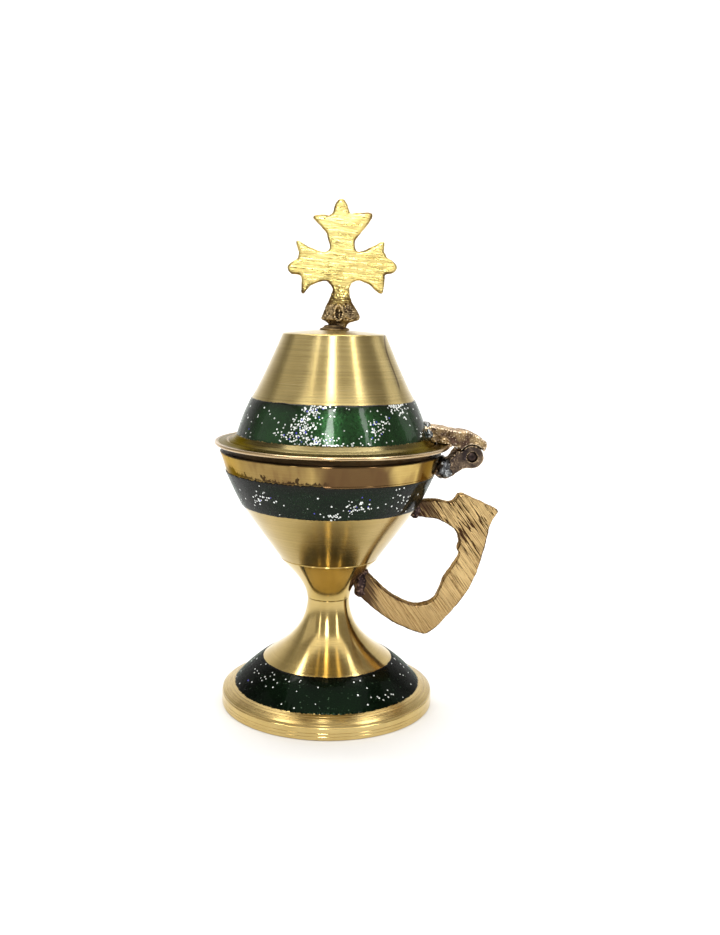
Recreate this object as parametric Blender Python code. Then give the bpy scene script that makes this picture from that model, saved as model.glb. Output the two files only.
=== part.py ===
"""Covered brass vessel on a trumpet foot, with three enamel bands, a side handle and a hinged lid
that carries a flared cross.

The turned pieces share one vertical axis. It stands at AXIS_X, so that the bounding box of the whole
object is centred on the origin. +Z is up, and +X points from the axis to the handle and the hinge.
Dimensions are in millimetres, and outlines are lists of (radius or x, z) points; the functions that
make meshes turn them into metres.
"""

import math

import bmesh
import bpy

MM = 0.001

# Driving dimensions, in millimetres.
FOOT_RADIUS = 29.0
WAIST_Z = 29.4  # where the bowl casting sits on the foot
BRIM_RADIUS = 31.5
BRIM_Z = 71.5  # underside of the lid's brim
LID_TOP_Z = 102.0
CROSS_TOP_Z = 135.6
HANDLE_REACH = 45.8  # axis to the handle's outer corner
LID_SLACK = 0.4  # the loose hinge lets the lid sit this far towards the handle
AXIS_X = -(HANDLE_REACH - BRIM_RADIUS + LID_SLACK) / 2

PIN_X, PIN_Z = 37.65, 69.1
PIN_RADIUS = 1.3
PIN_CLEARANCE = 0.1
PIN_RECESS = 0.5  # how far its ends lie below the ears' outer faces
KNUCKLE_RADIUS = 3.05
CLEVIS_WIDTH = 8.0
SLOT_WIDTH = 3.4
TONGUE_WIDTH = 3.0
LUG_WIDTH = 8.4

HANDLE_THICKNESS = 3.6
CROSS_THICKNESS = 3.0
BOSS_THICKNESS = 4.6

ROD_RADIUS = 2.45
ROD_BOTTOM_Z = 11.6
ROD_TOP_Z = 36.0
TIE_WASHER_RADIUS = 5.6
TIE_WASHER_THICKNESS = 1.0
TIE_NUT_WIDTH = 8.0  # across flats
TIE_NUT_HEIGHT = 4.0
FOOT_SEAT_Z = 18.0  # flat seat for the washer, inside the foot
STUD_RADIUS = 1.75
FINIAL_WASHER_RADIUS = 4.0
FINIAL_WASHER_THICKNESS = 0.8
FINIAL_NUT_WIDTH = 6.0  # across flats
FINIAL_NUT_HEIGHT = 2.4
LID_SEAT_Z = 100.5  # flat seat for the washer, inside the lid

ENAMEL_DEPTH = 0.4
RECESS_DEPTH = 0.5
ENAMEL_CROWN = 0.12
SEAM_GAP = 0.1  # between a turned piece and the piece seated in it
JOINT_GAP = 0.3  # between a piece and the neighbour that its end is shaped to
SOLDER_GAP = 0.1  # between a bead and the casting that it holds
EDGE_CHAMFER = 0.4

SEGMENTS = 40
KNUCKLE_SEGMENTS = 24

# Ends of the enamel bands, on the turned surface, lower end first.
FOOT_BAND = ((25.4, 5.45), (17.7, 12.45))
BOWL_BAND = ((23.75, 55.4), (27.95, 64.3))
LID_BAND = ((25.5, 74.15), (21.65, 83.9))


# Outline tools


def bezier(start, lead, trail, end, steps):
    """Points of a cubic curve from start to end, without its last point."""
    points = []
    for i in range(steps):
        t = i / steps
        weights = ((1 - t) ** 3, 3 * t * (1 - t) ** 2, 3 * t * t * (1 - t), t**3)
        points.append(
            tuple(sum(w * p[k] for w, p in zip(weights, (start, lead, trail, end))) for k in (0, 1))
        )
    return points


def arc(centre, radius, first_deg, last_deg, steps):
    """Points of a circular arc, both ends included."""
    turns = [math.radians(first_deg + (last_deg - first_deg) * i / steps) for i in range(steps + 1)]
    return [(centre[0] + radius * math.cos(a), centre[1] + radius * math.sin(a)) for a in turns]


def smooth(points, steps=4):
    """A curve through all the points, without its last one, by Catmull-Rom interpolation."""
    ends = [points[0], *points, points[-1]]
    curve = []
    for a, b, c, d in zip(ends, ends[1:], ends[2:], ends[3:]):
        lead = tuple(b[k] + (c[k] - a[k]) / 6 for k in (0, 1))
        trail = tuple(c[k] - (d[k] - b[k]) / 6 for k in (0, 1))
        curve += bezier(b, lead, trail, c, steps)
    return curve


def offset_outline(outline, out):
    """A closed outline moved out by a distance, or in by a negative one, on whichever side is outside."""
    pairs = list(zip(outline, outline[1:] + outline[:1]))
    turn = math.copysign(1, sum(a[0] * b[1] - b[0] * a[1] for a, b in pairs))
    moved = []
    for before, here, after in zip(outline[-1:] + outline[:-1], outline, outline[1:] + outline[:1]):
        sides = []
        for start, end in ((before, here), (here, after)):
            length = math.dist(start, end)
            sides.append(((end[1] - start[1]) / length * turn, (start[0] - end[0]) / length * turn))
        share = 1 + sides[0][0] * sides[1][0] + sides[0][1] * sides[1][1]
        scale = out / max(share, 0.5)
        moved.append(tuple(here[k] + (sides[0][k] + sides[1][k]) * scale for k in (0, 1)))
    return moved


def band_offset(band, along, out):
    """A point at a share of the way along a band, moved out along the band's outward normal."""
    (r0, z0), (r1, z1) = band
    length = math.hypot(r1 - r0, z1 - z0)
    normal = ((z1 - z0) / length, (r0 - r1) / length)
    return (r0 + (r1 - r0) * along + normal[0] * out, z0 + (z1 - z0) * along + normal[1] * out)


def recess(band):
    """The four corners of the turned recess that holds a band, from its lower end up."""
    return [band[0], band_offset(band, 0, -RECESS_DEPTH), band_offset(band, 1, -RECESS_DEPTH), band[1]]


# Object tools


def clear_scene():
    for obj in list(bpy.data.objects):
        bpy.data.objects.remove(obj)


def make_material(name, colour, roughness, metallic):
    material = bpy.data.materials.new(name)
    material.use_nodes = True
    shader = material.node_tree.nodes["Principled BSDF"]
    shader.inputs["Base Color"].default_value = (*colour, 1.0)
    shader.inputs["Roughness"].default_value = roughness
    shader.inputs["Metallic"].default_value = metallic
    return material


def make_empty(name, location_mm, parent=None):
    empty = bpy.data.objects.new(name, None)
    bpy.context.scene.collection.objects.link(empty)
    empty.parent = parent
    empty.location = [v * MM for v in location_mm]
    return empty


def make_object(name, bm, material, parent, shift_mm=(0, 0, 0)):
    """An object from a bmesh in millimetres. shift_mm takes the mesh from its own zero to the parent's."""
    bmesh.ops.scale(bm, vec=(MM, MM, MM), verts=bm.verts)
    bmesh.ops.recalc_face_normals(bm, faces=bm.faces)
    mesh = bpy.data.meshes.new(name)
    bm.to_mesh(mesh)
    bm.free()
    mesh.shade_smooth()
    mesh.set_sharp_from_angle(angle=math.radians(35))
    mesh.materials.append(material)
    obj = bpy.data.objects.new(name, mesh)
    bpy.context.scene.collection.objects.link(obj)
    obj.parent = parent
    obj.location = [v * MM for v in shift_mm]
    return obj


def turned_mesh(outline, segments=SEGMENTS):
    """A bmesh turned about Z from a closed (radius, z) outline, which may start and end at radius 0."""
    bm = bmesh.new()
    verts = [bm.verts.new((r, 0, z)) for r, z in outline]
    edges = [bm.edges.new(pair) for pair in zip(verts, verts[1:] + verts[:1])]
    if outline[0][0] == 0 and outline[-1][0] == 0:
        bm.edges.remove(edges.pop())
    bmesh.ops.spin(
        bm,
        geom=verts + edges,
        cent=(0, 0, 0),
        axis=(0, 0, 1),
        angle=math.tau,
        steps=segments,
        use_merge=True,
    )
    bmesh.ops.remove_doubles(bm, verts=bm.verts, dist=1e-4)
    bmesh.ops.dissolve_degenerate(bm, edges=bm.edges, dist=1e-5)
    return bm


def plate_mesh(outline, thickness, chamfer=0.0):
    """A bmesh of a flat plate, centred on y = 0, from a closed (x, z) outline."""
    half = thickness / 2
    levels = [(-half, 0.0), (half, 0.0)]
    if chamfer:
        levels = [(-half, -chamfer), (-half + chamfer, 0.0), (half - chamfer, 0.0), (half, -chamfer)]
    bm = bmesh.new()
    rings = []
    for y, out in levels:
        line = offset_outline(outline, out) if out else outline
        rings.append([bm.verts.new((x, y, z)) for x, z in line])
    for low, high in zip(rings, rings[1:]):
        for i in range(len(low)):
            bm.faces.new((low[i - 1], low[i], high[i], high[i - 1]))
    bm.faces.new(rings[0])
    bm.faces.new(rings[-1])
    return bm


def rod_mesh(radius, length, segments, along_y=False):
    """A bmesh of a rod about its own centre, standing on Z or lying along Y."""
    bm = bmesh.new()
    bmesh.ops.create_cone(
        bm, cap_ends=True, segments=segments, radius1=radius, radius2=radius, depth=length
    )
    if along_y:
        turn = ((1, 0, 0), (0, 0, -1), (0, 1, 0))
        for vert in bm.verts:
            vert.co = [sum(row[k] * vert.co[k] for k in range(3)) for row in turn]
    return bm


def moved_mesh(bm, offset):
    bmesh.ops.translate(bm, vec=offset, verts=bm.verts)
    return bm


def helper(name, bm, parent):
    """A cutter or a piece to be joined on, which isn't a part of its own."""
    obj = make_object(name, bm, bpy.data.materials["brass"], parent)
    obj.hide_render = True
    obj.display_type = "WIRE"
    return obj


def combine(obj, operation, other):
    modifier = obj.modifiers.new(f"{operation.lower()}_{other.name}", "BOOLEAN")
    modifier.operation = operation
    modifier.solver = "EXACT"
    modifier.object = other


# Turned outlines, as functions of the driving dimensions


def foot_outline():
    rim = [
        (27.0, 0.0),
        (FOOT_RADIUS - 0.3, 0.0),
        (FOOT_RADIUS, 0.3),
        (FOOT_RADIUS - 0.15, 3.3),
        (28.5, 3.4),
        (28.45, 3.95),
        (28.1, 4.05),
        (27.7, 4.5),
    ]
    top_z = WAIST_Z - SEAM_GAP
    trumpet = bezier(FOOT_BAND[1], (11.5, 16.5), (5.7, 20.6), (5.7, top_z), 8)
    socket = [(5.7, top_z), (3.9, top_z), (3.9, top_z - 1.6), (2.75, top_z - 1.6)]
    cavity = [
        (2.75, FOOT_SEAT_Z),
        (6.9, FOOT_SEAT_Z),
        (7.3, 16.6),
        (11.5, 13.2),
        (15.9, 11.0),
        (23.4, 4.7),
        (26.3, 3.3),
        (27.0, 2.5),
    ]
    return rim + recess(FOOT_BAND)[:3] + trumpet + socket + cavity


def bowl_outside(band_line=BOWL_BAND):
    """The bowl casting's outer line, from the foot of its funnel to the shoulder of its rim."""
    funnel = bezier((5.85, WAIST_Z), (6.2, 33.5), (10.2, 37.3), (13.35, 40.7), 6)
    return funnel + [(13.35, 40.7), (13.5, 40.9), *band_line, (29.0, 67.8), (29.6, 69.5)]


def bowl_outline():
    spigot = [(2.6, WAIST_Z - 1.4), (3.6, WAIST_Z - 1.4), (3.6, WAIST_Z)]
    outside = bowl_outside(recess(BOWL_BAND))
    mouth = [(29.45, 69.8), (28.3, 69.9), (28.2, 71.0), (28.0, 71.2), (26.9, 71.2), (26.6, 70.9)]
    inside = [(26.6, 67.5), (26.1, 65.0), (22.2, 56.4), (11.9, 41.75), (9.2, 39.7), (7.5, 39.0)]
    floor = [(0.0, 39.0), (0.0, 36.6), (2.6, 36.6)]
    return spigot + outside + mouth + inside + floor


def lid_outside(band_line=LID_BAND):
    """The lid's outer line, from the edge of its brim to the hole in its top."""
    brim = [(31.2, BRIM_Z), (BRIM_RADIUS, 71.75), (BRIM_RADIUS, 72.15), (31.3, 72.4), (28.0, 72.75)]
    groove = [(27.75, 72.5), (27.5, 72.8), (26.5, 73.25)]
    cone = bezier(LID_BAND[1], (19.7, 87.0), (16.6, 94.0), (13.8, 100.4), 6)
    shoulder = [(13.8, 100.4), (13.6, 100.85), (13.2, 101.05), (5.0, 101.9)]
    return brim + groove + [*band_line][:-1] + cone + shoulder


def lid_outline():
    lip = [(24.9, 69.8), (25.9, 69.8), (25.9, BRIM_Z)]
    hole = [(2.05, LID_TOP_Z), (2.05, LID_SEAT_Z)]
    inside = [(5.5, LID_SEAT_Z), (11.7, 99.7), (12.3, 99.2), (18.1, 86.9), (20.1, 83.4), (24.0, 73.6)]
    return lip + lid_outside(recess(LID_BAND)) + hole + inside + [(24.6, 72.4)]


def grown(outline, out):
    """A turned outer line moved out by a distance along its normals, and closed on the axis."""
    line = [p for i, p in enumerate(outline) if i == 0 or math.dist(p, outline[i - 1]) > 0.01]
    moved = []
    for before, here, after in zip([line[0], *line], line, [*line[1:], line[-1]]):
        dr, dz = after[0] - before[0], after[1] - before[1]
        length = math.hypot(dr, dz)
        moved.append((here[0] + dz / length * out, here[1] - dr / length * out))
    return [(0.0, moved[0][1]), *moved, (0.0, moved[-1][1])]


def enamel_outline(band):
    """Section of the enamel in a band's recess: flat at the back, a little crowned in front."""
    shares = (0.01, 0.25, 0.5, 0.75, 0.99)
    crowns = (0.0, 0.75, 1.0, 0.75, 0.0)
    front = [band_offset(band, s, c * ENAMEL_CROWN) for s, c in zip(shares, crowns)]
    back = [band_offset(band, s, -ENAMEL_DEPTH) for s in (0.99, 0.01)]
    return front + back


# Flat outlines


def handle_outline():
    """The handle from its upper end round the outside to its lower end, and back along the inside.
    Both ends run into the bowl, which cuts them to its own shape."""
    thumb_rest = [(22.0, 56.6), (28.3, 56.8), (32.4, 56.2), (33.8, 56.8), (34.8, 58.6), (36.2, 58.7)]
    corner = [(45.5, 54.5), (HANDLE_REACH, 53.9)]
    outside = smooth(
        [(43.7, 50.2), (42.3, 43.5), (38.7, 32.6), (32.0, 23.5), (28.6, 20.2), (26.6, 19.2)], 3
    )
    underside = smooth([(26.6, 19.2), (23.6, 19.9), (18.3, 22.3), (13.6, 25.3), (9.4, 29.0)], 2)
    lower_end = [(9.4, 29.0), (5.0, 33.0), (8.0, 38.4)]
    inside = smooth(
        [(9.9, 36.9), (13.7, 33.0), (18.5, 29.4), (24.4, 27.3), (28.8, 28.9), (31.5, 35.0)], 3
    )
    grip = smooth([(31.5, 35.0), (35.3, 41.6), (35.3, 45.6), (32.8, 50.0), (28.0, 51.8), (22.8, 52.5)], 3)
    return thumb_rest + corner + outside + underside + lower_end + inside + grip + [(20.5, 52.9)]


def cross_outline():
    """The flared cross above its boss, anticlockwise from the foot of the stem. Each arm ends in a
    round lobe between two pointed horns, and no two arms are quite alike."""
    right_stem = smooth([(3.6, 105.0), (3.7, 109.5), (3.4, 112.8), (4.3, 114.4), (6.2, 114.8)], 2)
    right_low_horn = smooth([(6.2, 114.8), (8.6, 113.8), (12.1, 111.5)], 3)
    right_lobe = smooth([(12.4, 116.3), (14.8, 117.2), (15.5, 118.7), (14.4, 120.2), (11.7, 121.9)], 2)
    right_high_horn = smooth([(12.1, 124.9), (9.2, 123.4), (5.3, 122.2), (4.6, 123.0)], 3)
    top_right_horn = smooth([(4.6, 123.0), (4.9, 125.8), (7.1, 128.5), (8.9, 131.9)], 3)
    top_lobe = smooth([(2.8, 131.9), (2.3, 134.5), (1.0, CROSS_TOP_Z), (-0.4, 134.6), (-1.4, 131.6)], 2)
    top_left_horn = smooth([(-6.5, 130.8), (-3.3, 127.1), (-2.3, 123.9), (-2.5, 122.6)], 3)
    left_high_horn = smooth([(-2.5, 122.6), (-4.1, 122.0), (-7.4, 123.0), (-10.7, 124.6)], 3)
    left_lobe = smooth([(-10.1, 120.5), (-12.4, 119.0), (-13.0, 117.7), (-12.0, 116.3), (-9.5, 115.9)], 2)
    left_low_horn = smooth([(-9.3, 111.2), (-7.0, 113.2), (-4.4, 114.3), (-2.0, 114.2)], 3)
    left_stem = smooth([(-2.0, 114.2), (-0.8, 112.6), (-1.2, 109.5), (-1.1, 105.0)], 2)
    right = right_stem + right_low_horn + [(12.1, 111.5)] + right_lobe + [(11.7, 121.9)]
    top = right_high_horn + top_right_horn + [(8.9, 131.9)] + top_lobe + [(-1.4, 131.6)]
    left = top_left_horn + left_high_horn + [(-10.7, 124.6)] + left_lobe + [(-9.5, 115.9)]
    return right + top + left + left_low_horn + left_stem + [(-1.1, 105.0)]


def boss_outline():
    """The lump at the foot of the cross: wide shoulders, drawn in below to the collar."""
    right = [(3.3, 103.2), (3.9, 104.2), (5.9, 104.3), (6.5, 106.1), (5.2, 108.2), (3.9, 110.6)]
    left = [(-1.3, 110.6), (-2.5, 108.1), (-3.0, 106.3), (-3.8, 104.9), (-1.9, 103.9), (-1.4, 103.2)]
    return right + left


def bracket_outline():
    """The lower hinge casting: an arm that leaves the bowl's rim and rises to the knuckle."""
    knuckle = arc((PIN_X, PIN_Z), KNUCKLE_RADIUS, -105, 150, KNUCKLE_SEGMENTS)
    top = [(34.4, 70.5), (33.3, 70.9), (32.4, 69.9), (31.3, 68.9), (29.4, 68.4), (27.5, 68.3)]
    bottom = [(27.0, 64.6), (29.3, 63.9), (30.5, 63.1), (32.2, 63.7), (33.9, 64.9)]
    return knuckle + top + bottom


def lug_outline():
    """The upper hinge casting. It runs into the lid, which cuts it to shape, and ends over the knuckle."""
    top = [(41.6, 72.4), (41.1, 73.4), (38.6, 74.9), (36.5, 75.8), (33.5, 76.0), (28.3, 76.9)]
    lid_end = [(23.0, 77.1), (23.0, 71.6)]
    underside = [(31.5, 71.6), (32.3, 72.1), (34.1, 71.5)]
    notch = arc((PIN_X, PIN_Z), KNUCKLE_RADIUS + JOINT_GAP, 148, 24, 14)
    return top + lid_end + underside + notch


# Pieces


def make_foot(axis, mats):
    make_object("foot", turned_mesh(foot_outline()), mats["brass"], axis)
    make_object("foot_enamel", turned_mesh(enamel_outline(FOOT_BAND)), mats["enamel"], axis)


def make_bowl(axis, mats):
    make_object("bowl", turned_mesh(bowl_outline()), mats["brass"], axis)
    make_object("bowl_enamel", turned_mesh(enamel_outline(BOWL_BAND)), mats["enamel"], axis)


def washer_outline(inner, outer, z_low, thickness):
    z_high = z_low + thickness
    return [(inner, z_low), (outer, z_low), (outer, z_high), (inner, z_high)]


def nut_mesh(hole_radius, across_flats, z_low, z_high):
    """A hexagon nut: at each of its turns the outside follows the hexagon, and the inside the hole."""
    bm = bmesh.new()
    rings = []
    turns = [math.tau * i / KNUCKLE_SEGMENTS for i in range(KNUCKLE_SEGMENTS)]
    for z, is_hole in ((z_low, False), (z_high, False), (z_high, True), (z_low, True)):
        ring = []
        for turn in turns:
            off_flat = (turn + math.pi / 6) % (math.pi / 3) - math.pi / 6
            radius = hole_radius if is_hole else across_flats / 2 / math.cos(off_flat)
            ring.append(bm.verts.new((radius * math.cos(turn), radius * math.sin(turn), z)))
        rings.append(ring)
    for low, high in zip(rings, rings[1:] + rings[:1]):
        for i in range(KNUCKLE_SEGMENTS):
            j = (i + 1) % KNUCKLE_SEGMENTS
            bm.faces.new((low[i], low[j], high[j], high[i]))
    return bm


def make_tie_rod(axis, mats):
    """The stud that draws bowl and foot together: it screws into the funnel and is held below by a nut."""
    length = ROD_TOP_Z - ROD_BOTTOM_Z
    rod = moved_mesh(rod_mesh(ROD_RADIUS, length, KNUCKLE_SEGMENTS), (0, 0, ROD_BOTTOM_Z + length / 2))
    make_object("tie_rod", rod, mats["brass"], axis)
    washer_low = FOOT_SEAT_Z - SEAM_GAP - TIE_WASHER_THICKNESS
    washer = washer_outline(ROD_RADIUS + 0.25, TIE_WASHER_RADIUS, washer_low, TIE_WASHER_THICKNESS)
    make_object("tie_washer", turned_mesh(washer, KNUCKLE_SEGMENTS), mats["brass"], axis)
    nut_high = washer_low - SEAM_GAP
    nut = nut_mesh(ROD_RADIUS + SEAM_GAP, TIE_NUT_WIDTH, nut_high - TIE_NUT_HEIGHT, nut_high)
    make_object("tie_nut", nut, mats["brass"], axis)


def make_handle(axis, mats, bowl_cutter):
    plate = plate_mesh(handle_outline(), HANDLE_THICKNESS, EDGE_CHAMFER)
    handle = make_object("handle", plate, mats["cast_brass"], axis)
    combine(handle, "DIFFERENCE", bowl_cutter)
    cutter = helper("handle_cutter", grown_plate(handle_outline(), HANDLE_THICKNESS), axis)
    cutters = (cutter, bowl_cutter)
    make_bead("handle_upper_braze", (23.6, 0, 54.5), (2.3, 2.5, 3.1), axis, mats["braze"], cutters)
    make_bead("handle_lower_braze", (8.5, 0, 33.7), (2.3, 2.6, 4.6), axis, mats["braze"], cutters)


def grown_plate(outline, thickness):
    """A plate's shape with the solder gap round it, to cut out of the bead that holds it."""
    return plate_mesh(offset_outline(outline, SOLDER_GAP), thickness + 2 * SOLDER_GAP)


def make_bead(name, centre, size, parent, material, cutters, shift=(0, 0, 0)):
    """A bead of solder: a rounded block about a joint, less the pieces that it joins."""
    bm = bmesh.new()
    bmesh.ops.create_icosphere(bm, subdivisions=3, radius=1)
    for vert in bm.verts:
        vert.co /= sum(v**4 for v in vert.co) ** 0.25
    bmesh.ops.scale(bm, vec=size, verts=bm.verts)
    bead = make_object(name, moved_mesh(bm, centre), material, parent, shift)
    for cutter in cutters:
        combine(bead, "DIFFERENCE", cutter)


def make_bracket(axis, mats, bowl_cutter):
    """A clevis: two ears that hold the pin, with a slot between them for the lug's tongue."""
    plate = plate_mesh(bracket_outline(), CLEVIS_WIDTH, EDGE_CHAMFER / 2)
    bracket = make_object("hinge_bracket", plate, mats["cast_brass"], axis)
    combine(bracket, "DIFFERENCE", bowl_cutter)
    bore = rod_mesh(PIN_RADIUS + PIN_CLEARANCE, CLEVIS_WIDTH + 2, KNUCKLE_SEGMENTS, along_y=True)
    bore_cutter = helper("bracket_bore", moved_mesh(bore, (PIN_X, 0, PIN_Z)), axis)
    combine(bracket, "DIFFERENCE", bore_cutter)
    slot_reach = KNUCKLE_RADIUS + 2 * JOINT_GAP
    slot = arc((PIN_X, PIN_Z), slot_reach, 125, 250, 10) + [(PIN_X + 6, PIN_Z - 6), (PIN_X + 6, PIN_Z + 6)]
    combine(bracket, "DIFFERENCE", helper("bracket_slot", plate_mesh(slot, SLOT_WIDTH), axis))
    cutter = helper("bracket_cutter", grown_plate(bracket_outline(), CLEVIS_WIDTH), axis)
    cutters = (cutter, bowl_cutter)
    make_bead("bracket_solder", (29.6, 0, 66.0), (2.1, 4.9, 3.4), axis, mats["solder"], cutters)


def make_pin(axis, mats):
    """The hinge pin: a plain rod pressed into the ears, with domed ends a little below their faces."""
    end = CLEVIS_WIDTH / 2 - PIN_RECESS
    dome = [(0.0, end), (0.6 * PIN_RADIUS, end - 0.1), (PIN_RADIUS, end - 0.4)]
    outline = dome + [(r, -y) for r, y in reversed(dome)]
    bm = turned_mesh(outline, KNUCKLE_SEGMENTS)
    for vert in bm.verts:
        vert.co = (vert.co.x + PIN_X, vert.co.z, PIN_Z - vert.co.y)
    make_object("hinge_pin", bm, mats["steel"], axis)


def make_lug(hinge, shift, mats, lid_cutter):
    """The lug is full width over the brim. A tongue at its end goes between the bracket's ears."""
    plate = plate_mesh(lug_outline(), LUG_WIDTH, EDGE_CHAMFER)
    lug = make_object("hinge_lug", plate, mats["cast_brass"], hinge, shift)
    tongue = arc((PIN_X, PIN_Z), KNUCKLE_RADIUS, -180, 30, 16) + [(40.6, 73.0), (36.0, 74.0), (34.2, 72.0)]
    tongue_body = helper("lug_tongue", plate_mesh(tongue, TONGUE_WIDTH), hinge)
    tongue_body.location = lug.location
    combine(lug, "UNION", tongue_body)
    bore = rod_mesh(PIN_RADIUS + PIN_CLEARANCE, LUG_WIDTH + 2, KNUCKLE_SEGMENTS, along_y=True)
    bore_cutter = helper("lug_bore", moved_mesh(bore, (PIN_X, 0, PIN_Z)), hinge)
    bore_cutter.location = lug.location
    combine(lug, "DIFFERENCE", bore_cutter)
    combine(lug, "DIFFERENCE", lid_cutter)
    cutter = helper("lug_cutter", grown_plate(lug_outline(), LUG_WIDTH), hinge)
    cutter.location = lug.location
    cutters = (cutter, lid_cutter)
    make_bead("lug_solder", (25.9, 0, 75.2), (1.9, 4.9, 2.9), hinge, mats["solder"], cutters, shift)


def make_lid(hinge, shift, mats):
    make_object("lid", turned_mesh(lid_outline()), mats["brass"], hinge, shift)
    make_object("lid_enamel", turned_mesh(enamel_outline(LID_BAND)), mats["enamel"], hinge, shift)


def make_finial(hinge, shift, mats):
    """The cross is one casting with its boss and stud. A nut inside the lid holds it on its collar."""
    base_z = LID_TOP_Z + SEAM_GAP
    collar = [
        (2.0, base_z),
        (3.75, base_z - 0.1),
        (3.7, base_z + 0.25),
        (2.75, base_z + 1.0),
        (2.0, base_z + 1.0),
    ]
    make_object("finial_collar", turned_mesh(collar, KNUCKLE_SEGMENTS), mats["cast_brass"], hinge, shift)
    plate = plate_mesh(cross_outline(), CROSS_THICKNESS, EDGE_CHAMFER)
    cross = make_object("cross_finial", plate, mats["cast_brass"], hinge, shift)
    boss = helper("cross_boss", plate_mesh(boss_outline(), BOSS_THICKNESS, EDGE_CHAMFER), hinge)
    stud_low, stud_high = 96.4, 104.5
    stud = rod_mesh(STUD_RADIUS, stud_high - stud_low, KNUCKLE_SEGMENTS)
    stud_body = helper("cross_stud", moved_mesh(stud, (0, 0, (stud_low + stud_high) / 2)), hinge)
    for piece in (boss, stud_body):
        piece.location = cross.location
        combine(cross, "UNION", piece)
    washer_low = LID_SEAT_Z - SEAM_GAP - FINIAL_WASHER_THICKNESS
    washer = washer_outline(STUD_RADIUS + 0.2, FINIAL_WASHER_RADIUS, washer_low, FINIAL_WASHER_THICKNESS)
    make_object("finial_washer", turned_mesh(washer, KNUCKLE_SEGMENTS), mats["brass"], hinge, shift)
    nut_high = washer_low - SEAM_GAP
    nut = nut_mesh(STUD_RADIUS + SEAM_GAP, FINIAL_NUT_WIDTH, nut_high - FINIAL_NUT_HEIGHT, nut_high)
    make_object("finial_nut", nut, mats["brass"], hinge, shift)


def main():
    clear_scene()
    mats = {
        "brass": make_material("brass", (0.72, 0.52, 0.20), 0.25, 1.0),
        "cast_brass": make_material("cast_brass", (0.66, 0.46, 0.20), 0.42, 1.0),
        "enamel": make_material("enamel", (0.01, 0.06, 0.025), 0.12, 0.0),
        "solder": make_material("solder", (0.30, 0.30, 0.30), 0.5, 1.0),
        "braze": make_material("braze", (0.10, 0.07, 0.06), 0.6, 0.6),
        "steel": make_material("steel", (0.10, 0.08, 0.08), 0.5, 0.8),
    }
    axis = make_empty("turned_axis", (AXIS_X, 0, 0))
    hinge = make_empty("hinge_axis", (PIN_X, 0, PIN_Z), axis)
    lid_shift = (LID_SLACK - PIN_X, 0, -PIN_Z)
    lug_shift = (-PIN_X, 0, -PIN_Z)

    bowl_cutter = helper("bowl_cutter", turned_mesh(grown(bowl_outside(), JOINT_GAP)), axis)
    lid_cutter = helper("lid_cutter", turned_mesh(grown(lid_outside(), JOINT_GAP)), hinge)
    lid_cutter.location = [v * MM for v in lid_shift]

    make_foot(axis, mats)
    make_bowl(axis, mats)
    make_tie_rod(axis, mats)
    make_lid(hinge, lid_shift, mats)
    make_finial(hinge, lid_shift, mats)

    make_handle(axis, mats, bowl_cutter)
    make_bracket(axis, mats, bowl_cutter)
    make_pin(axis, mats)
    make_lug(hinge, lug_shift, mats, lid_cutter)


main()
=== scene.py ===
"""The looks of the covered brass vessel: fine turned brass, dark green enamel with glitter, filed and
cast brass, solder, studio and camera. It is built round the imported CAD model.

Shapes are worked out in millimetres from the turned axis, with +X towards the handle, and scaled to
metres when a mesh is made. Turned outlines are lists of (radius, z), flat outlines lists of (x, z).
Materials work in metres.
"""

import random
from collections import namedtuple
from math import copysign, cos, degrees, dist, hypot, pi, radians, remainder, sin, tau

import bmesh
import bpy
from mathutils import Matrix, Vector, noise


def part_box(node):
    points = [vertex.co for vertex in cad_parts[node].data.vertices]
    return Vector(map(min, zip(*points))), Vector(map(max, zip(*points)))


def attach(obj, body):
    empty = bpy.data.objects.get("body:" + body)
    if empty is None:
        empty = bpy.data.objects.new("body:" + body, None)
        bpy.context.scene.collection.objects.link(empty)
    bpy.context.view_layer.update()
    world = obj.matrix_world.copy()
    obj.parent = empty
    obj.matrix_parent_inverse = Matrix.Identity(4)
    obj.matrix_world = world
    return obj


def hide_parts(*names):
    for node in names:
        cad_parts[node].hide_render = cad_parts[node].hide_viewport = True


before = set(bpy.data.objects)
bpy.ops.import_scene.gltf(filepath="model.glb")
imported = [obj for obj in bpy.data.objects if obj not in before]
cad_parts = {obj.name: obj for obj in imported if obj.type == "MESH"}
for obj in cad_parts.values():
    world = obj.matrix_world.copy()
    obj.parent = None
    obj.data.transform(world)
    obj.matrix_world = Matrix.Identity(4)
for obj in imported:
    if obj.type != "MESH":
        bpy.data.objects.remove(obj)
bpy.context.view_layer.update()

MM = 0.001
MICRON = 0.000001


def cad_box_mm(node):
    """A CAD node's box, in millimetres, in the frame's own coordinates."""
    low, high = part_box(node)
    return low / MM, high / MM


FOOT_LOW, FOOT_HIGH = cad_box_mm("foot")
LID_LOW, LID_HIGH = cad_box_mm("lid")
PIN_LOW, PIN_HIGH = cad_box_mm("hinge_pin")

AXIS_X = (FOOT_LOW.x + FOOT_HIGH.x) / 2
LID_X = (LID_LOW.x + LID_HIGH.x) / 2
LID_SHIFT = LID_X - AXIS_X
PIN = ((PIN_LOW.x + PIN_HIGH.x) / 2 - AXIS_X, (PIN_LOW.z + PIN_HIGH.z) / 2)

FOOT_RADIUS = (FOOT_HIGH.x - FOOT_LOW.x) / 2
FOOT_WALL_TOP_Z = 3.3
WAIST_Z = 29.4
FUNNEL_TOP_Z = 40.55
BOWL_MOUTH_Z = 69.7
BRIM_RADIUS = (LID_HIGH.x - LID_LOW.x) / 2
BRIM_Z = 71.5
LID_TOP_Z = LID_HIGH.z

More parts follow.
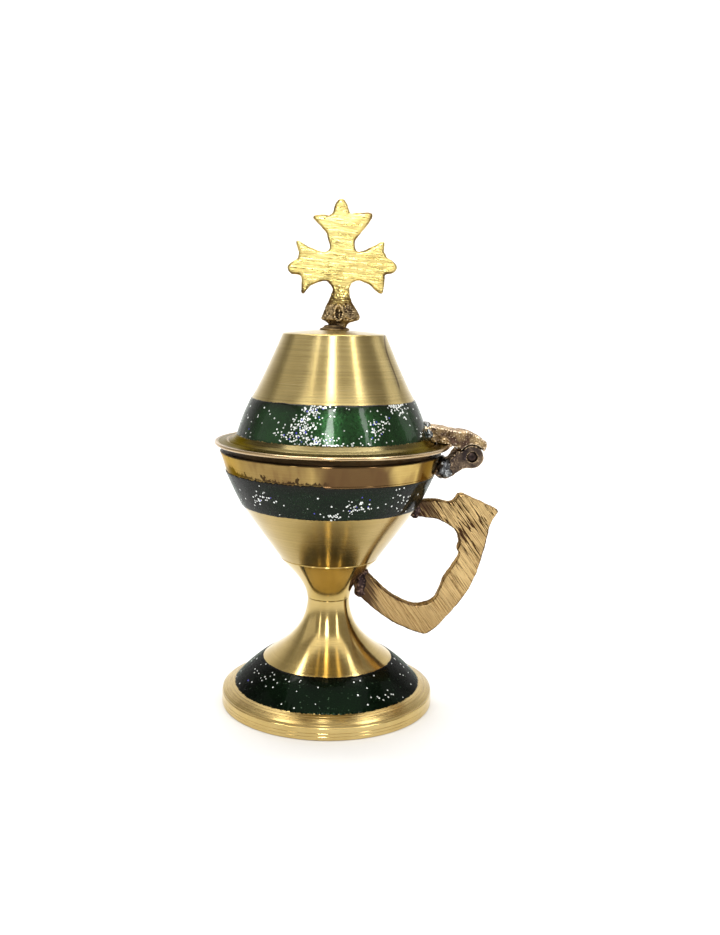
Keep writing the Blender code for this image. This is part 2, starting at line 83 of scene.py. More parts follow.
# An enamel band: the (radius, z) of its lower and upper end, how far its middle bulges, its body and axis.
Band = namedtuple("Band", "low high dome body x")
FOOT_BAND = Band((25.4, 5.45), (17.7, 12.45), 0.33, "vessel", AXIS_X)
BOWL_BAND = Band((23.75, 55.4), (27.95, 64.3), 0.12, "vessel", AXIS_X)
LID_BAND = Band((25.5, 74.15), (21.65, 83.9), 0.24, "cover", LID_X)
FILM_THICKNESS = 0.11

KNUCKLE_RADIUS = 3.05
BORE_RADIUS = 1.42
CLEVIS_WIDTH = 8.0
SLOT_WIDTH = 3.4
TONGUE_WIDTH = 3.0
LUG_WIDTH = 8.4
HANDLE_THICKNESS = 3.6
CROSS_THICKNESS = 3.0

# The outsides of the bowl and the lid, from bottom to top. What is fixed to them is cut to these.
BOWL_SIDE = [(5.85, WAIST_Z), (6.6, 32.2), (8.1, 35.0), (10.4, 37.9), (13.3, 40.6), BOWL_BAND.low,
             BOWL_BAND.high, (29.0, 67.8), (29.55, 69.4)]
LID_SIDE = [(31.2, BRIM_Z), (BRIM_RADIUS, 71.8), (BRIM_RADIUS, 72.2), (31.25, 72.42), (28.2, 72.72),
            (26.6, 73.2), LID_BAND.low, LID_BAND.high, (17.7, 90.5), (13.8, 100.4)]

SEGMENTS = 288
BAND_SEGMENTS = 720
COARSE_SEGMENTS = 96
CAST_VOXEL = 0.17
FRONT = -pi / 2  # the angle round the axis that faces the camera
WHITE = (1.0, 1.0, 1.0)
TARNISH = (0.13, 0.07, 0.025)
SOOT = (0.026, 0.014, 0.008)
HOLLOW = (0.02, 0.014, 0.01)


# Outlines


def bezier(start, lead, trail, end, steps):
    """Points of a cubic curve from start to end, without its last point."""
    points = []
    for i in range(steps):
        t = i / steps
        weights = ((1 - t) ** 3, 3 * t * (1 - t) ** 2, 3 * t * t * (1 - t), t**3)
        points.append(
            tuple(sum(w * p[k] for w, p in zip(weights, (start, lead, trail, end))) for k in (0, 1))
        )
    return points


def arc(centre, radius, first_deg, last_deg, steps):
    """Points of a circular arc, both ends included."""
    turns = [radians(first_deg + (last_deg - first_deg) * i / steps) for i in range(steps + 1)]
    return [(centre[0] + radius * cos(a), centre[1] + radius * sin(a)) for a in turns]


def smooth(points, steps=5):
    """A curve through all the points, without its last one, by Catmull-Rom interpolation."""
    ends = [points[0], *points, points[-1]]
    curve = []
    for a, b, c, d in zip(ends, ends[1:], ends[2:], ends[3:]):
        lead = tuple(b[k] + (c[k] - a[k]) / 6 for k in (0, 1))
        trail = tuple(c[k] - (d[k] - b[k]) / 6 for k in (0, 1))
        curve += bezier(b, lead, trail, c, steps)
    return curve


def with_neighbours(outline):
    """Each point of a closed outline, between the one before it and the one after it."""
    return zip(outline[-1:] + outline[:-1], outline, outline[1:] + outline[:1])


def rounded(outline, radius):
    """A closed outline with rounded corners. Points beside them keep the shading of the flats even."""
    least_turn_deg, most_share, beside, on_axis = 12, 0.4, 1.2, 0.01
    result = []
    for before, here, after in with_neighbours(outline):
        here = Vector(here)
        back, on = Vector(before) - here, Vector(after) - here
        turn = degrees(back.angle(-on)) if back.length and on.length else 0.0
        if here.x < on_axis or turn < least_turn_deg:
            result.append(tuple(here))
            continue
        cut = min(radius, most_share * back.length, most_share * on.length)
        back.normalize()
        on.normalize()
        result.append(tuple(here + back * cut * beside))
        for t in (0.0, 0.25, 0.5, 0.75, 1.0):
            result.append(tuple(here + back * cut * (1 - t) ** 2 + on * cut * t * t))
        result.append(tuple(here + on * cut * beside))
    return result


def offset_outline(outline, out):
    """A closed outline moved out by a distance, or in by a negative one."""
    pairs = list(zip(outline, outline[1:] + outline[:1]))
    turn = copysign(1, sum(a[0] * b[1] - b[0] * a[1] for a, b in pairs))
    result = []
    for before, here, after in with_neighbours(outline):
        sides = []
        for start, end in ((before, here), (here, after)):
            length = dist(start, end)
            sides.append(((end[1] - start[1]) / length * turn, (start[0] - end[0]) / length * turn))
        share = 1 + sides[0][0] * sides[1][0] + sides[0][1] * sides[1][1]
        scale = out / max(share, 0.5)
        result.append(tuple(here[k] + (sides[0][k] + sides[1][k]) * scale for k in (0, 1)))
    return result


def groove(at, along, width, depth):
    """A small V groove in a turned surface at a point. along is the direction of the outline there."""
    direction = Vector(along).normalized()
    inwards = Vector((-direction.y, direction.x))
    middle = Vector(at)
    half = direction * width / 2
    return [tuple(middle - half), tuple(middle + inwards * depth), tuple(middle + half)]


def band_offset(band, along, out):
    """A point at a share of the way along a band, moved out along the band's outward normal."""
    (r0, z0), (r1, z1) = band.low, band.high
    length = hypot(r1 - r0, z1 - z0)
    normal = ((z1 - z0) / length, (r0 - r1) / length)
    return (r0 + (r1 - r0) * along + normal[0] * out, z0 + (z1 - z0) * along + normal[1] * out)


def bulge(band, share):
    """How far a band's enamel bulges at a share of the way along it."""
    return band.dome * 4 * share * (1 - share)


# Meshes


def grid_faces(around, along, step_around, step_along, closed=False, start=0):
    """Faces of a grid of points that goes right round one way, and also the other way if closed. The
    steps say how far apart in the list of points two neighbours are."""
    faces = []
    for k in range(along if closed else along - 1):
        low, high = k * step_along, (k + 1) % along * step_along
        for i in range(around):
            here, there = start + i * step_around, start + (i + 1) % around * step_around
            faces.append((here + low, there + low, there + high, here + high))
    return faces


def raw_mesh(verts, faces):
    """A bmesh from points in millimetres."""
    mesh = bpy.data.meshes.new("raw")
    mesh.from_pydata(verts, [], faces)
    bm = bmesh.new()
    bm.from_mesh(mesh)
    bpy.data.meshes.remove(mesh)
    return bm


def clean_mesh(verts, faces):
    """A bmesh from points in millimetres, with doubled points merged and faces turned outwards."""
    bm = raw_mesh(verts, faces)
    bmesh.ops.remove_doubles(bm, verts=bm.verts, dist=1e-4)
    bmesh.ops.dissolve_degenerate(bm, edges=bm.edges, dist=1e-5)
    bmesh.ops.recalc_face_normals(bm, faces=bm.faces)
    return bm


def turned_mesh(rings):
    """A bmesh turned about Z through closed outlines, one for each equal step of the turn, with as many
    points each. Outlines that start and end on the axis are left open along it."""
    count = len(rings[0])
    verts = []
    for i, ring in enumerate(rings):
        angle = tau * i / len(rings)
        verts += [(r * cos(angle), r * sin(angle), z) for r, z in ring]
    on_axis = rings[0][0][0] == 0 and rings[0][-1][0] == 0
    return clean_mesh(verts, grid_faces(len(rings), count, count, 1, not on_axis))


def plate_mesh(outline, width, chamfer=0.0):
    """A bmesh of a flat plate: a closed (x, z) outline as thick as width along Y, with chamfered edges."""
    half = width / 2
    levels = [(-half, outline), (half, outline)]
    if chamfer:
        inner = offset_outline(outline, -chamfer)
        levels = [(-half, inner), (chamfer - half, outline), (half - chamfer, outline), (half, inner)]
    count = len(outline)
    verts = [(x, y, z) for y, level in levels for x, z in level]
    ends = [tuple(range(count)), tuple(range(len(verts) - count, len(verts)))]
    return clean_mesh(verts, ends + grid_faces(count, len(levels), 1, count))


def loft_mesh(levels, sides=32, power=2.6):
    """A bmesh through superellipse sections, each (centre x, centre y, z, half x, half y)."""
    verts = []
    for cx, cy, z, hx, hy in levels:
        for i in range(sides):
            c, s = cos(tau * i / sides), sin(tau * i / sides)
            scale = (abs(c) ** power + abs(s) ** power) ** (-1 / power)
            verts.append((cx + hx * c * scale, cy + hy * s * scale, z))
    ends = [tuple(range(sides)), tuple(range(len(verts) - sides, len(verts)))]
    return clean_mesh(verts, grid_faces(sides, len(levels), 1, sides) + ends)


def moved(bm, offset):
    """The same bmesh, moved."""
    bmesh.ops.translate(bm, vec=offset, verts=bm.verts)
    return bm


def ball_mesh(centre, size):
    """A bmesh of an ellipsoid."""
    bm = bmesh.new()
    bmesh.ops.create_icosphere(bm, subdivisions=3, radius=1)
    bmesh.ops.scale(bm, vec=size, verts=bm.verts)
    return moved(bm, centre)


def rod_along_y(centre, radius, length, sides=48):
    """A bmesh of a rod that lies along Y, centred on an (x, z) point."""
    return plate_mesh(arc(centre, radius, 0, 360 - 360 / sides, sides - 1), length)


def turned_cutter(side, gap):
    """A solid of revolution a gap larger than a piece's outside, to shape what is fixed to it."""
    shifted = []
    for before, here, after in zip([side[0], *side], side, [*side[1:], side[-1]]):
        way = (Vector(after) - Vector(before)).normalized()
        shifted.append((here[0] + way.y * gap, here[1] - way.x * gap))
    closed = [(0.0, shifted[0][1]), *shifted, (0.0, shifted[-1][1])]
    return turned_mesh([closed] * COARSE_SEGMENTS)


def lid_cutter(gap):
    """A cutter in the closed lid's place, for what is fixed to it."""
    return moved(turned_cutter(LID_SIDE, gap), (LID_SHIFT, 0, 0))


def joined(*parts):
    """One bmesh that holds all the parts, which may overlap."""
    bm = bmesh.new()
    for part in parts:
        mesh = bpy.data.meshes.new("part")
        part.to_mesh(mesh)
        part.free()
        bm.from_mesh(mesh)
        bpy.data.meshes.remove(mesh)
    return bm


def as_object(name, bm, scale=1.0):
    """An object in the scene from a bmesh, which it uses up."""
    bmesh.ops.scale(bm, vec=(scale, scale, scale), verts=bm.verts)
    mesh = bpy.data.meshes.new(name)
    bm.to_mesh(mesh)
    bm.free()
    return in_scene(name, mesh)


def in_scene(name, data):
    """A new object in the scene with a mesh, light or camera as its data."""
    obj = bpy.data.objects.new(name, data)
    bpy.context.scene.collection.objects.link(obj)
    return obj


def with_modifiers_applied(obj):
    """Bakes an object's modifiers into its mesh, and gives the mesh back as a bmesh."""
    evaluated = obj.evaluated_get(bpy.context.evaluated_depsgraph_get())
    bm = bmesh.new()
    bm.from_mesh(evaluated.to_mesh())
    evaluated.to_mesh_clear()
    old = obj.data
    bpy.data.objects.remove(obj)
    bpy.data.meshes.remove(old)
    return bm


def cut_away(bm, *cutters):
    """Takes closed shapes out of a bmesh."""
    obj = as_object("stock", bm)
    tools = [as_object("cutter", cutter) for cutter in cutters]
    for tool in tools:
        modifier = obj.modifiers.new("cut", "BOOLEAN")
        modifier.operation = "DIFFERENCE"
        modifier.solver = "EXACT"
        modifier.object = tool
    result = with_modifiers_applied(obj)
    for tool in tools:
        bpy.data.objects.remove(tool)
    return result


def cast(bm, voxel=CAST_VOXEL, relax=3):
    """Melts overlapping closed shapes into one skin of even small faces with softened edges."""
    obj = as_object("casting", bm)
    remesh = obj.modifiers.new("skin", "REMESH")
    remesh.mode = "VOXEL"
    remesh.voxel_size = voxel
    soften = obj.modifiers.new("soften", "SMOOTH")
    soften.factor = 0.5
    soften.iterations = relax
    return with_modifiers_applied(obj)


def displace(bm, height):
    """Moves each point along its normal by height(place, normal), in millimetres."""
    bm.normal_update()
    for vert, move in [(v, v.normal * height(v.co, v.normal)) for v in bm.verts]:
        vert.co += move
    return bm


def fractal(x, y, z, octaves=3):
    """Fractal noise, about -1 to 1, with one period to a unit."""
    return noise.fractal(Vector((x, y, z)), 0.6, 2.0, octaves)


def lumps(place, scale, shift=(0, 0, 0), octaves=2):
    """Fractal noise with scale periods to the millimetre. shift takes it from another part of the noise."""
    return fractal(*(place[k] * scale + shift[k] for k in range(3)), octaves)


def make_piece(name, bm, body, node, materials, x=AXIS_X, material_at=None):
    """A shown piece from a bmesh in millimetres. It rides on a CAD body and stands for a CAD node.
    material_at(place, normal) names a face's material where there are several."""
    if material_at:
        for face in bm.faces:
            chosen = material_at(face.calc_center_median(), face.normal)
            face.material_index = materials.index(chosen)
    obj = as_object(name, bm, MM)
    obj.data.shade_smooth()
    for material in materials:
        obj.data.materials.append(bpy.data.materials[material])
    obj.location = (x * MM, 0, 0)
    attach(obj, body)
    if node:
        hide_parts(node)
    return obj


# Materials


class Field:
    """A value or colour that varies over a surface: a node's output. Arithmetic on it adds Math nodes."""

    def __init__(self, socket):
        self.socket = socket
        self.tree = socket.id_data

    def math(self, operation, other=0.0):
        """This value and another through a Math node."""
        return add_node(self.tree, "Math", {0: self, 1: other}, operation=operation)

    def __add__(self, other):
        return self.math("ADD", other)

    def __sub__(self, other):
        return self.math("SUBTRACT", other)

    def __mul__(self, other):
        return self.math("MULTIPLY", other)

    def __abs__(self):
        return self.math("ABSOLUTE")


def set_inputs(node, inputs):
    """Sets a node's inputs. A Field is linked, and anything else is set as a constant."""
    for name, value in inputs.items():
        socket = node.inputs[name]
        if isinstance(value, Field):
            value.tree.links.new(value.socket, socket)
        elif socket.type == "RGBA":
            socket.default_value = (*value, 1.0)
        else:
            socket.default_value = value


def add_node(tree, kind, inputs=None, output=0, **settings):
    """An output, by its number or name, of a new shader node."""
    node = tree.nodes.new("ShaderNode" + kind)
    for name, value in settings.items():
        setattr(node, name, value)
    set_inputs(node, inputs or {})
    return Field(node.outputs[output])


def start_material(name, constants):
    """A new material's shader, with its constant inputs set, and the places on the object."""
    material = bpy.data.materials.new(name)
    material.use_nodes = True
    shader = material.node_tree.nodes["Principled BSDF"]
    set_inputs(shader, constants)
    return shader, add_node(material.node_tree, "TexCoord", output="Object")


def split(vector):
    """The X, Y and Z of a vector."""
    first = add_node(vector.tree, "SeparateXYZ", {"Vector": vector})
    return [Field(part) for part in first.socket.node.outputs]


def noise_at(place, scale, detail=3, roughness=0.5, turn=(0, 0, 0)):
    """Noise with scale periods to the metre. A scale for each axis applies once the place is turned."""
    if isinstance(scale, tuple):
        turned = {"Vector": place, "Rotation": turn}
        turned = add_node(place.tree, "VectorRotate", turned, rotation_type="EULER_XYZ")
        place = add_node(place.tree, "VectorMath", {0: turned, 1: scale}, operation="MULTIPLY")
        scale = 1.0
    inputs = {"Vector": place, "Scale": scale, "Detail": detail, "Roughness": roughness}
    return add_node(place.tree, "TexNoise", inputs)


def ramp(value, *stops):
    """A colour ramp over a value, from (position, colour) stops."""
    colour = add_node(value.tree, "ValToRGB", {"Fac": value})
    elements = colour.socket.node.color_ramp.elements
    while len(elements) < len(stops):
        elements.new(0.5)
    for element, (position, tint) in zip(elements, stops):
        element.position = position
        element.color = (*tint, 1.0)
    return colour


def mix(share, first, second):
    """The first colour where share is 0, the second where it is 1."""
    return add_node(share.tree, "Mix", {0: share, 6: first, 7: second}, 2, data_type="RGBA")


def remap(value, low, high, to_low=0.0, to_high=1.0):
    """A smooth step from to_low, where value is low, to to_high, where it is high."""
    inputs = {"Value": value, "From Min": low, "From Max": high, "To Min": to_low, "To Max": to_high}
    return add_node(value.tree, "MapRange", inputs, interpolation_type="SMOOTHSTEP")


def bump(height, distance, below=None):
    """The normal of a surface raised by height times distance, in metres, over an earlier bump."""
    inputs = {"Height": height, "Distance": distance}
    if below:
        inputs["Normal"] = below
    return add_node(height.tree, "Bump", inputs)


def scaled(colour, factor):
    """A colour made lighter or darker."""
    return tuple(min(1.0, factor * c) for c in colour)


def turned_brass(name, light, dark, roughness, lines, stain, marks=None, ring_tone=0.2, edge_tint=WHITE):
    """Lathe-turned brass: fine rings round the axis, a little tarnish, and a stretched highlight. lines
    is the depth of the rings in microns, stain the share of the surface that is tarnished, ring_tone
    how dark the rings' hollows are, and marks(colour, place) adds what only this surface has."""
    shader, place = start_material(name, {
        "Metallic": 1.0, "Anisotropic": 0.7, "Anisotropic Rotation": 0.25, "Specular Tint": edge_tint,
    })
    rings = noise_at(place, (9, 9, 3600), 4, 0.65)
    coarse_rings = noise_at(place, (14, 14, 620), 2)
    hairlines = noise_at(place, (9, 9, 9000), 3, 0.7)
    cloud = noise_at(place, 90, 4, 0.6)
    specks = noise_at(place, 900, 3, 0.7)
    tarnish = remap(specks * 0.6 + cloud * 0.4, 0.74 - stain, 0.82 - stain)
    colour = ramp(rings * 0.25 + cloud * 0.75, (0.36, dark), (0.66, light))
    colour = mix(tarnish * 0.6, colour, TARNISH)
    colour = mix(remap(hairlines, 0.62, 0.38, 0.0, ring_tone), colour, scaled(dark, 0.4))
    if marks:
        colour = marks(colour, place)
    set_inputs(shader, {
        "Base Color": colour,
        "Roughness": remap(rings, 0.3, 0.7, roughness * 0.9, roughness * 1.15) + tarnish * 0.2,
        "Normal": bump(rings, lines * MICRON, bump(coarse_rings, 2 * lines * MICRON)),
        "Tangent": add_node(place.tree, "Tangent", direction_type="RADIAL", axis="Z"),
    })


def rim_marks(colour, place):
    """Marks on the bowl's rim band: brown across its front middle, a heat stain by the hinge and fainter
    brown on the left, darker vertical streaks that are painted reflection streaks, and soot along the
    enamel on the side away from the handle, in a ragged line with a few taller patches."""
    x, _, z = split(place)
    soot_low_z = 0.0648
    across = x + (noise_at(place, (70, 70, 25)) - 0.5) * 0.02
    middle = remap(across, -0.008, 0.003) * remap(across, 0.0145, 0.0105)
    by_hinge = remap(across, 0.0205, 0.024)
    dull = remap(across, 0.0, -0.008, 0.0, 0.55) * remap(across, -0.026, -0.02, 0.35, 1.0)
    brown = (middle.math("MAXIMUM", by_hinge) * 0.93).math("MAXIMUM", dull)
    # Painted reflection: darker vertical streaks, like the turned band's stretched reflections.
    painted_reflection_streaks = remap(noise_at(place, (240, 240, 14), 2), 0.46, 0.62, 0.0, 0.55)
    colour = mix(painted_reflection_streaks, colour, (0.2, 0.115, 0.045))
    colour = mix(brown, colour, (0.095, 0.05, 0.023))
    patches = remap(noise_at(place, (360, 360, 130), 2), 0.55, 0.6)
    ragged = noise_at(place, (1300, 1300, 900), 4, 0.7)
    far_side = remap(x, -0.018, -0.027, 0.0, 0.001)
    top = patches * 0.001 + far_side + remap(ragged, 0.3, 0.7, soot_low_z, soot_low_z + 0.0012)
    soot = remap(top - z, -0.0001, 0.0003) * remap(x, 0.001, -0.003) * 0.9
    return mix(soot * remap(z, soot_low_z, soot_low_z + 0.0002), colour, SOOT)


def cone_dark_line(colour, place):
    """A faint dark line down the right of the lid's cone."""
    x, y, z = split(place)
    away = abs(x - remap(z, 0.085, 0.1, 0.0172, 0.013))
    run = remap(away, 0.00034, 0.00008) * remap(y, 0.0, -0.001)
    return mix(run * remap(z, 0.0865, 0.0885, 0.0, 0.75), colour, (0.1, 0.055, 0.02))


def filed_brass(name, light, mid, dark, slope_deg, shortness, scratched, scratches, skin_and_shade_colour,
                skin_reach):
    """Cast brass filed flat by hand: streaks along slope_deg in the XZ plane, shorter where shortness is
    above 1. Deep scratches are painted dark, as painted shade in the file grooves, with a painted highlight
    on the ridge beside each. The plate's sides take the skin colour, partly cast skin and partly painted
    shade along the outline, and the cast skin is left where skin_reach(x, z) is above 0.5. scratches(x, z)
    says how strongly the scratches show."""
    shader, place = start_material(name, {"Metallic": 1.0, "Specular Tint": (0.75, 0.6, 0.42)})
    x, _, z = split(place)
    turn = (0, radians(slope_deg), 0)
    fine = noise_at(place, (70 * shortness, 150, 3400), 3, 0.6, turn)
    deep = noise_at(place, (42 * shortness, 70, 1100), 3, 0.55, turn)
    cloud = noise_at(place, 150, 4, 0.6)
    pits = noise_at(place, 1500, 3, 0.7)
    colour = ramp(fine * 0.75 + cloud * 0.25, (0.42, mid), (0.57, light))
    line = abs(deep - 0.5) + cloud * 0.1
    share = scratches(x, z)
    # Painted highlight: a pale ridge beside each deep scratch.
    painted_ridge_highlight = remap(abs(line - (scratched + 0.02)), 0.018, 0.004) * share
    colour = mix(painted_ridge_highlight * 0.7, colour, scaled(light, 1.35))
    # Painted shade: the deep scratches are dark, as shaded file grooves.
    shaded_scratch = remap(line, scratched, scratched - 0.012) * share
    colour = mix(shaded_scratch, colour, dark)
    # Darker towards the bottom.
    darker_low_down = remap(z, 0.036, 0.022, 0.0, 0.45)
    colour = mix(darker_low_down, colour, mid)
    _, facing_y, _ = split(add_node(place.tree, "TexCoord", output="Normal"))
    # Painted shade: the plate's sides take the skin colour, partly cast skin and partly shade along the
    # outline.
    edge = remap(abs(facing_y) + cloud * 0.35, 1.15, 1.02) * remap(cloud, 0.42, 0.6, 0.95, 0.35)
    colour = mix(edge, colour, skin_and_shade_colour)
    skin = remap(skin_reach(x, z) + (fine - 0.5) * 3.0, 0.25, 0.85)
    set_inputs(shader, {
        "Base Color": mix(skin * 0.9, colour, skin_and_shade_colour),
        "Roughness": remap(fine, 0.35, 0.65, 0.22, 0.42) + skin * 0.12,
        "Normal": bump(pits, 0.00003, bump(fine, 0.00005, bump(shaded_scratch * -1.0, 0.00012))),
    })


def near_bowl(x, z):
    """1 where the handle nears the bowl, falling to 0 some millimetres further out."""
    bowl_side_x = remap(z, 0.04, 0.046, 0.0085, 0.0245)
    return remap(x - bowl_side_x, 0.0085, 0.0005)


def cast_skin(name, light, dark, rubbed_and_sheen, roughness=0.42, relief=1.0, edge_tint=(0.7, 0.6, 0.5)):
    """Rough cast metal with dark hollows and pale sharp edges, rubbed bright, which on the lug are also a
    painted sheen. relief scales the depth of its bumps.
    """
    shader, place = start_material(name, {"Metallic": 1.0, "Specular Tint": edge_tint})
    cloud = noise_at(place, 330, 3, 0.55)
    grain = noise_at(place, 1700, 3, 0.6)
    edge = add_node(place.tree, "NewGeometry", output="Pointiness")
    colour = ramp(cloud, (0.36, dark), (0.64, light))
    # Sharp edges take the pale colour: rubbing wear, and on the lug a painted sheen too.
    colour = mix(remap(edge + cloud * 0.05, 0.535, 0.575), colour, rubbed_and_sheen)
    set_inputs(shader, {
        "Base Color": mix(remap(edge, 0.49, 0.44) * 0.85, colour, HOLLOW),
        "Roughness": remap(grain, 0.3, 0.7, roughness * 0.75, roughness * 1.4),
        "Normal": bump(grain, 0.00008 * relief, bump(cloud, 0.0004 * relief)),
    })


def green_enamel(name, glow, coat, band):
    """Transparent green resin over brass: a dark green metallic ground under a clear coat. glow scales
    the ground's colour. Its colour is painted darker in the last millimetres below the band's top:
    painted shade under the upper edge, which on the bowl's band also stands for soot."""
    shader, place = start_material(name, {
        "Metallic": 0.85, "Coat Weight": coat, "Coat Roughness": 0.07, "Coat IOR": 1.5,
        "Specular Tint": (0.1, 0.22, 0.14),
    })
    cloud = noise_at(place, 110, 4, 0.6)
    specks = noise_at(place, 1300, 2, 0.6)
    waves = noise_at(place, (140, 140, 260), 2)
    deep, bright = scaled((0.007, 0.026, 0.009), glow), scaled((0.02, 0.082, 0.02), glow)
    colour = ramp(cloud, (0.3, deep), (0.8, bright))
    colour = mix(remap(specks, 0.66, 0.74) * 0.35, colour, (0.12, 0.2, 0.12))
    top = band.high[1] * MM
    _, _, z = split(place)
    # Painted shade under the band's upper edge, nearly black just below it.
    shade = remap(z, top - 0.0028, top, 0.0, 0.6).math("MAXIMUM", remap(z, top - 0.0005, top - 0.0002))
    set_inputs(shader, {
        "Base Color": mix(shade, colour, (0.006, 0.005, 0.004)),
        "Roughness": remap(specks, 0.3, 0.7, 0.24, 0.36),
        "Coat Normal": bump(waves, 0.0001),
        "Normal": bump(specks, 0.00006),
    })


def glitter(name, colour):
    """Shiny flakes, some a little dimmer than others."""
    shader, place = start_material(name, {"Metallic": 0.35, "Coat Weight": 0.6, "Coat Roughness": 0.05})
    tone = noise_at(place, 700, 2)
    set_inputs(shader, {
        "Base Color": ramp(tone, (0.35, scaled(colour, 0.72)), (0.6, colour)),
        "Roughness": remap(tone, 0.3, 0.7, 0.2, 0.45),
    })


def pale_stage(name, colour):
    """The sweep's matt paper."""
    shader, place = start_material(name, {"Roughness": 0.75})
    grain = noise_at(place, 25)
    set_inputs(shader, {"Base Color": ramp(grain, (0.3, scaled(colour, 0.985)), (0.7, colour))})


def make_materials():
    """Every material. The pieces look them up by name."""
    turned_brass("brushed_brass", (0.6, 0.475, 0.215), (0.49, 0.375, 0.15), 0.24, 0.3, 0.0, cone_dark_line, 0.45)
    turned_brass("lapped_brass", (0.54, 0.4, 0.16), (0.42, 0.31, 0.11), 0.16, 0.5, 0.02, ring_tone=0.35)
    turned_brass("dish_brass", (0.19, 0.155, 0.075), (0.11, 0.085, 0.036), 0.26, 0.6, 0.16,
                 edge_tint=(0.5, 0.45, 0.33))
    turned_brass("polished_brass", (0.64, 0.48, 0.18), (0.5, 0.36, 0.12), 0.14, 0.4, 0.04)
    turned_brass("trumpet_brass", (0.66, 0.5, 0.21), (0.52, 0.38, 0.14), 0.18, 0.5, 0.04, ring_tone=0.35)
    turned_brass("rolled_edge_brass", (0.66, 0.5, 0.29), (0.44, 0.31, 0.17), 0.18, 0.4, 0.08)
    turned_brass("foot_ring_brass", (0.52, 0.39, 0.16), (0.36, 0.25, 0.09), 0.26, 0.6, 0.1)
    # The foot's wall has a lighter brass than its ring: painted light, for the bright floor it reflects.
    turned_brass("foot_wall_brass", (0.78, 0.6, 0.26), (0.62, 0.45, 0.17), 0.13, 0.4, 0.03)
    # The rim band: stains and soot, with painted reflection streaks.
    turned_brass("stained_brass", (0.6, 0.45, 0.16), (0.44, 0.3, 0.1), 0.12, 0.4, 0.12, rim_marks,
                 edge_tint=(0.75, 0.62, 0.42))
    turned_brass("inside_brass", (0.4, 0.28, 0.12), (0.2, 0.13, 0.055), 0.4, 3, 0.1)
    # Soot inside the bowl, and painted shade in the gap between the lid's brim and the bowl's mouth.
    turned_brass("sooty_brass", (0.14, 0.09, 0.04), (0.035, 0.022, 0.012), 0.5, 3, 0.2)
    turned_brass("fastener_brass", (0.55, 0.4, 0.16), (0.34, 0.23, 0.09), 0.3, 2, 0.1)
    green_enamel("green_enamel_bright", 0.8, 0.5, LID_BAND)
    green_enamel("green_enamel_dark", 0.16, 0.3, BOWL_BAND)
    green_enamel("green_enamel_foot", 0.1, 0.08, FOOT_BAND)
    glitter("silver_glitter", (0.86, 0.9, 0.88))
    glitter("blue_glitter", (0.06, 0.05, 0.55))
    # The file bit deepest at the top of the grip. The skin is left where the handle nears the bowl.
    filed_brass("filed_handle_brass", (0.64, 0.46, 0.215), (0.32, 0.2, 0.08), (0.06, 0.028, 0.012),
                -54, 1.0, 0.078, lambda x, z: remap(z, 0.032, 0.046, 0.15, 1.0),
                (0.045, 0.022, 0.015), near_bowl)
    # The cross is most scratched left of its middle. Its skin is left at the foot of the stem.
    filed_brass("filed_cross_brass", (0.88, 0.71, 0.27), (0.77, 0.58, 0.185), (0.15, 0.07, 0.025),
                -5, 2.8, 0.06, lambda x, z: remap(x, 0.005, -0.003, 0.2, 1.0),
                (0.1, 0.055, 0.022), lambda x, z: remap(z, 0.1155, 0.106))
    cast_skin("cast_boss_brass", (0.3, 0.22, 0.11), (0.07, 0.047, 0.027), (0.64, 0.48, 0.26))
    cast_skin("cast_hinge_bronze", (0.16, 0.115, 0.08), (0.035, 0.027, 0.026), (0.42, 0.31, 0.19),
              0.32, 0.6)
    # The lug's very pale edge colour is partly a painted sheen along its top.
    cast_skin("cast_lug_bronze", (0.4, 0.285, 0.14), (0.075, 0.045, 0.032), (0.8, 0.66, 0.48), 0.36, 0.45,
              (1.0, 0.92, 0.88))
    cast_skin("dark_braze", (0.07, 0.045, 0.042), (0.022, 0.015, 0.016), (0.22, 0.15, 0.12))
    cast_skin("grey_solder", (0.16, 0.17, 0.18), (0.05, 0.05, 0.055), (0.42, 0.44, 0.44), 0.32, 0.35)
    # The pin is near-black: painted shade, for the dark hole at the knuckle's middle.
    cast_skin("pin_painted_hole_shade", (0.035, 0.025, 0.025), (0.01, 0.008, 0.008), (0.1, 0.07, 0.06))
    pale_stage("pale_paper", (0.72, 0.72, 0.72))


# Turned pieces


def foot_outline():
    """The foot: stepped rim, banded belly, trumpet, socket for the bowl's spigot and hollow underside."""
    rim = [(26.9, 0.0), (FOOT_RADIUS - 0.25, 0.0), (FOOT_RADIUS, 0.25)]
    rim += [*groove((28.96, 1.1), (-0.04, 1), 0.16, 0.05), *groove((28.93, 1.9), (-0.04, 1), 0.16, 0.06)]
    rim += [(28.88, 3.2)]
    bead = [(28.7, 3.32), (28.78, 3.5), (28.74, 3.95), (28.45, 4.1)]
    ring = [(28.2, 4.28), *groove((27.95, 4.42), (-1, 0.5), 0.14, 0.06)]
    ring += [*groove((27.55, 4.62), (-1, 0.45), 0.14, 0.06), *groove((27.15, 4.82), (-1, 0.45), 0.2, 0.09)]
    ring += [(26.6, 5.08), *groove((26.3, 5.2), (-1, 0.42), 0.16, 0.06), (25.9, 5.33), FOOT_BAND.low]
    belly = bezier(FOOT_BAND.low, (23.3, 8.0), (20.6, 9.9), FOOT_BAND.high, 10)
    top_z = WAIST_Z - 0.1
    trumpet = bezier(FOOT_BAND.high, (11.5, 16.5), (5.75, 20.6), (5.7, top_z), 40)
    socket = [(5.7, top_z), (3.9, top_z), (3.9, top_z - 1.6), (2.75, top_z - 1.6)]
    cavity = [(2.75, 18.0), (6.9, 18.0), (7.3, 16.6), (11.5, 13.2), (15.9, 11.0), (23.4, 4.7), (26.3, 3.3)]
    return rounded(rim + bead + ring + belly[1:] + trumpet + socket + cavity + [(26.9, 2.5)], 0.14)


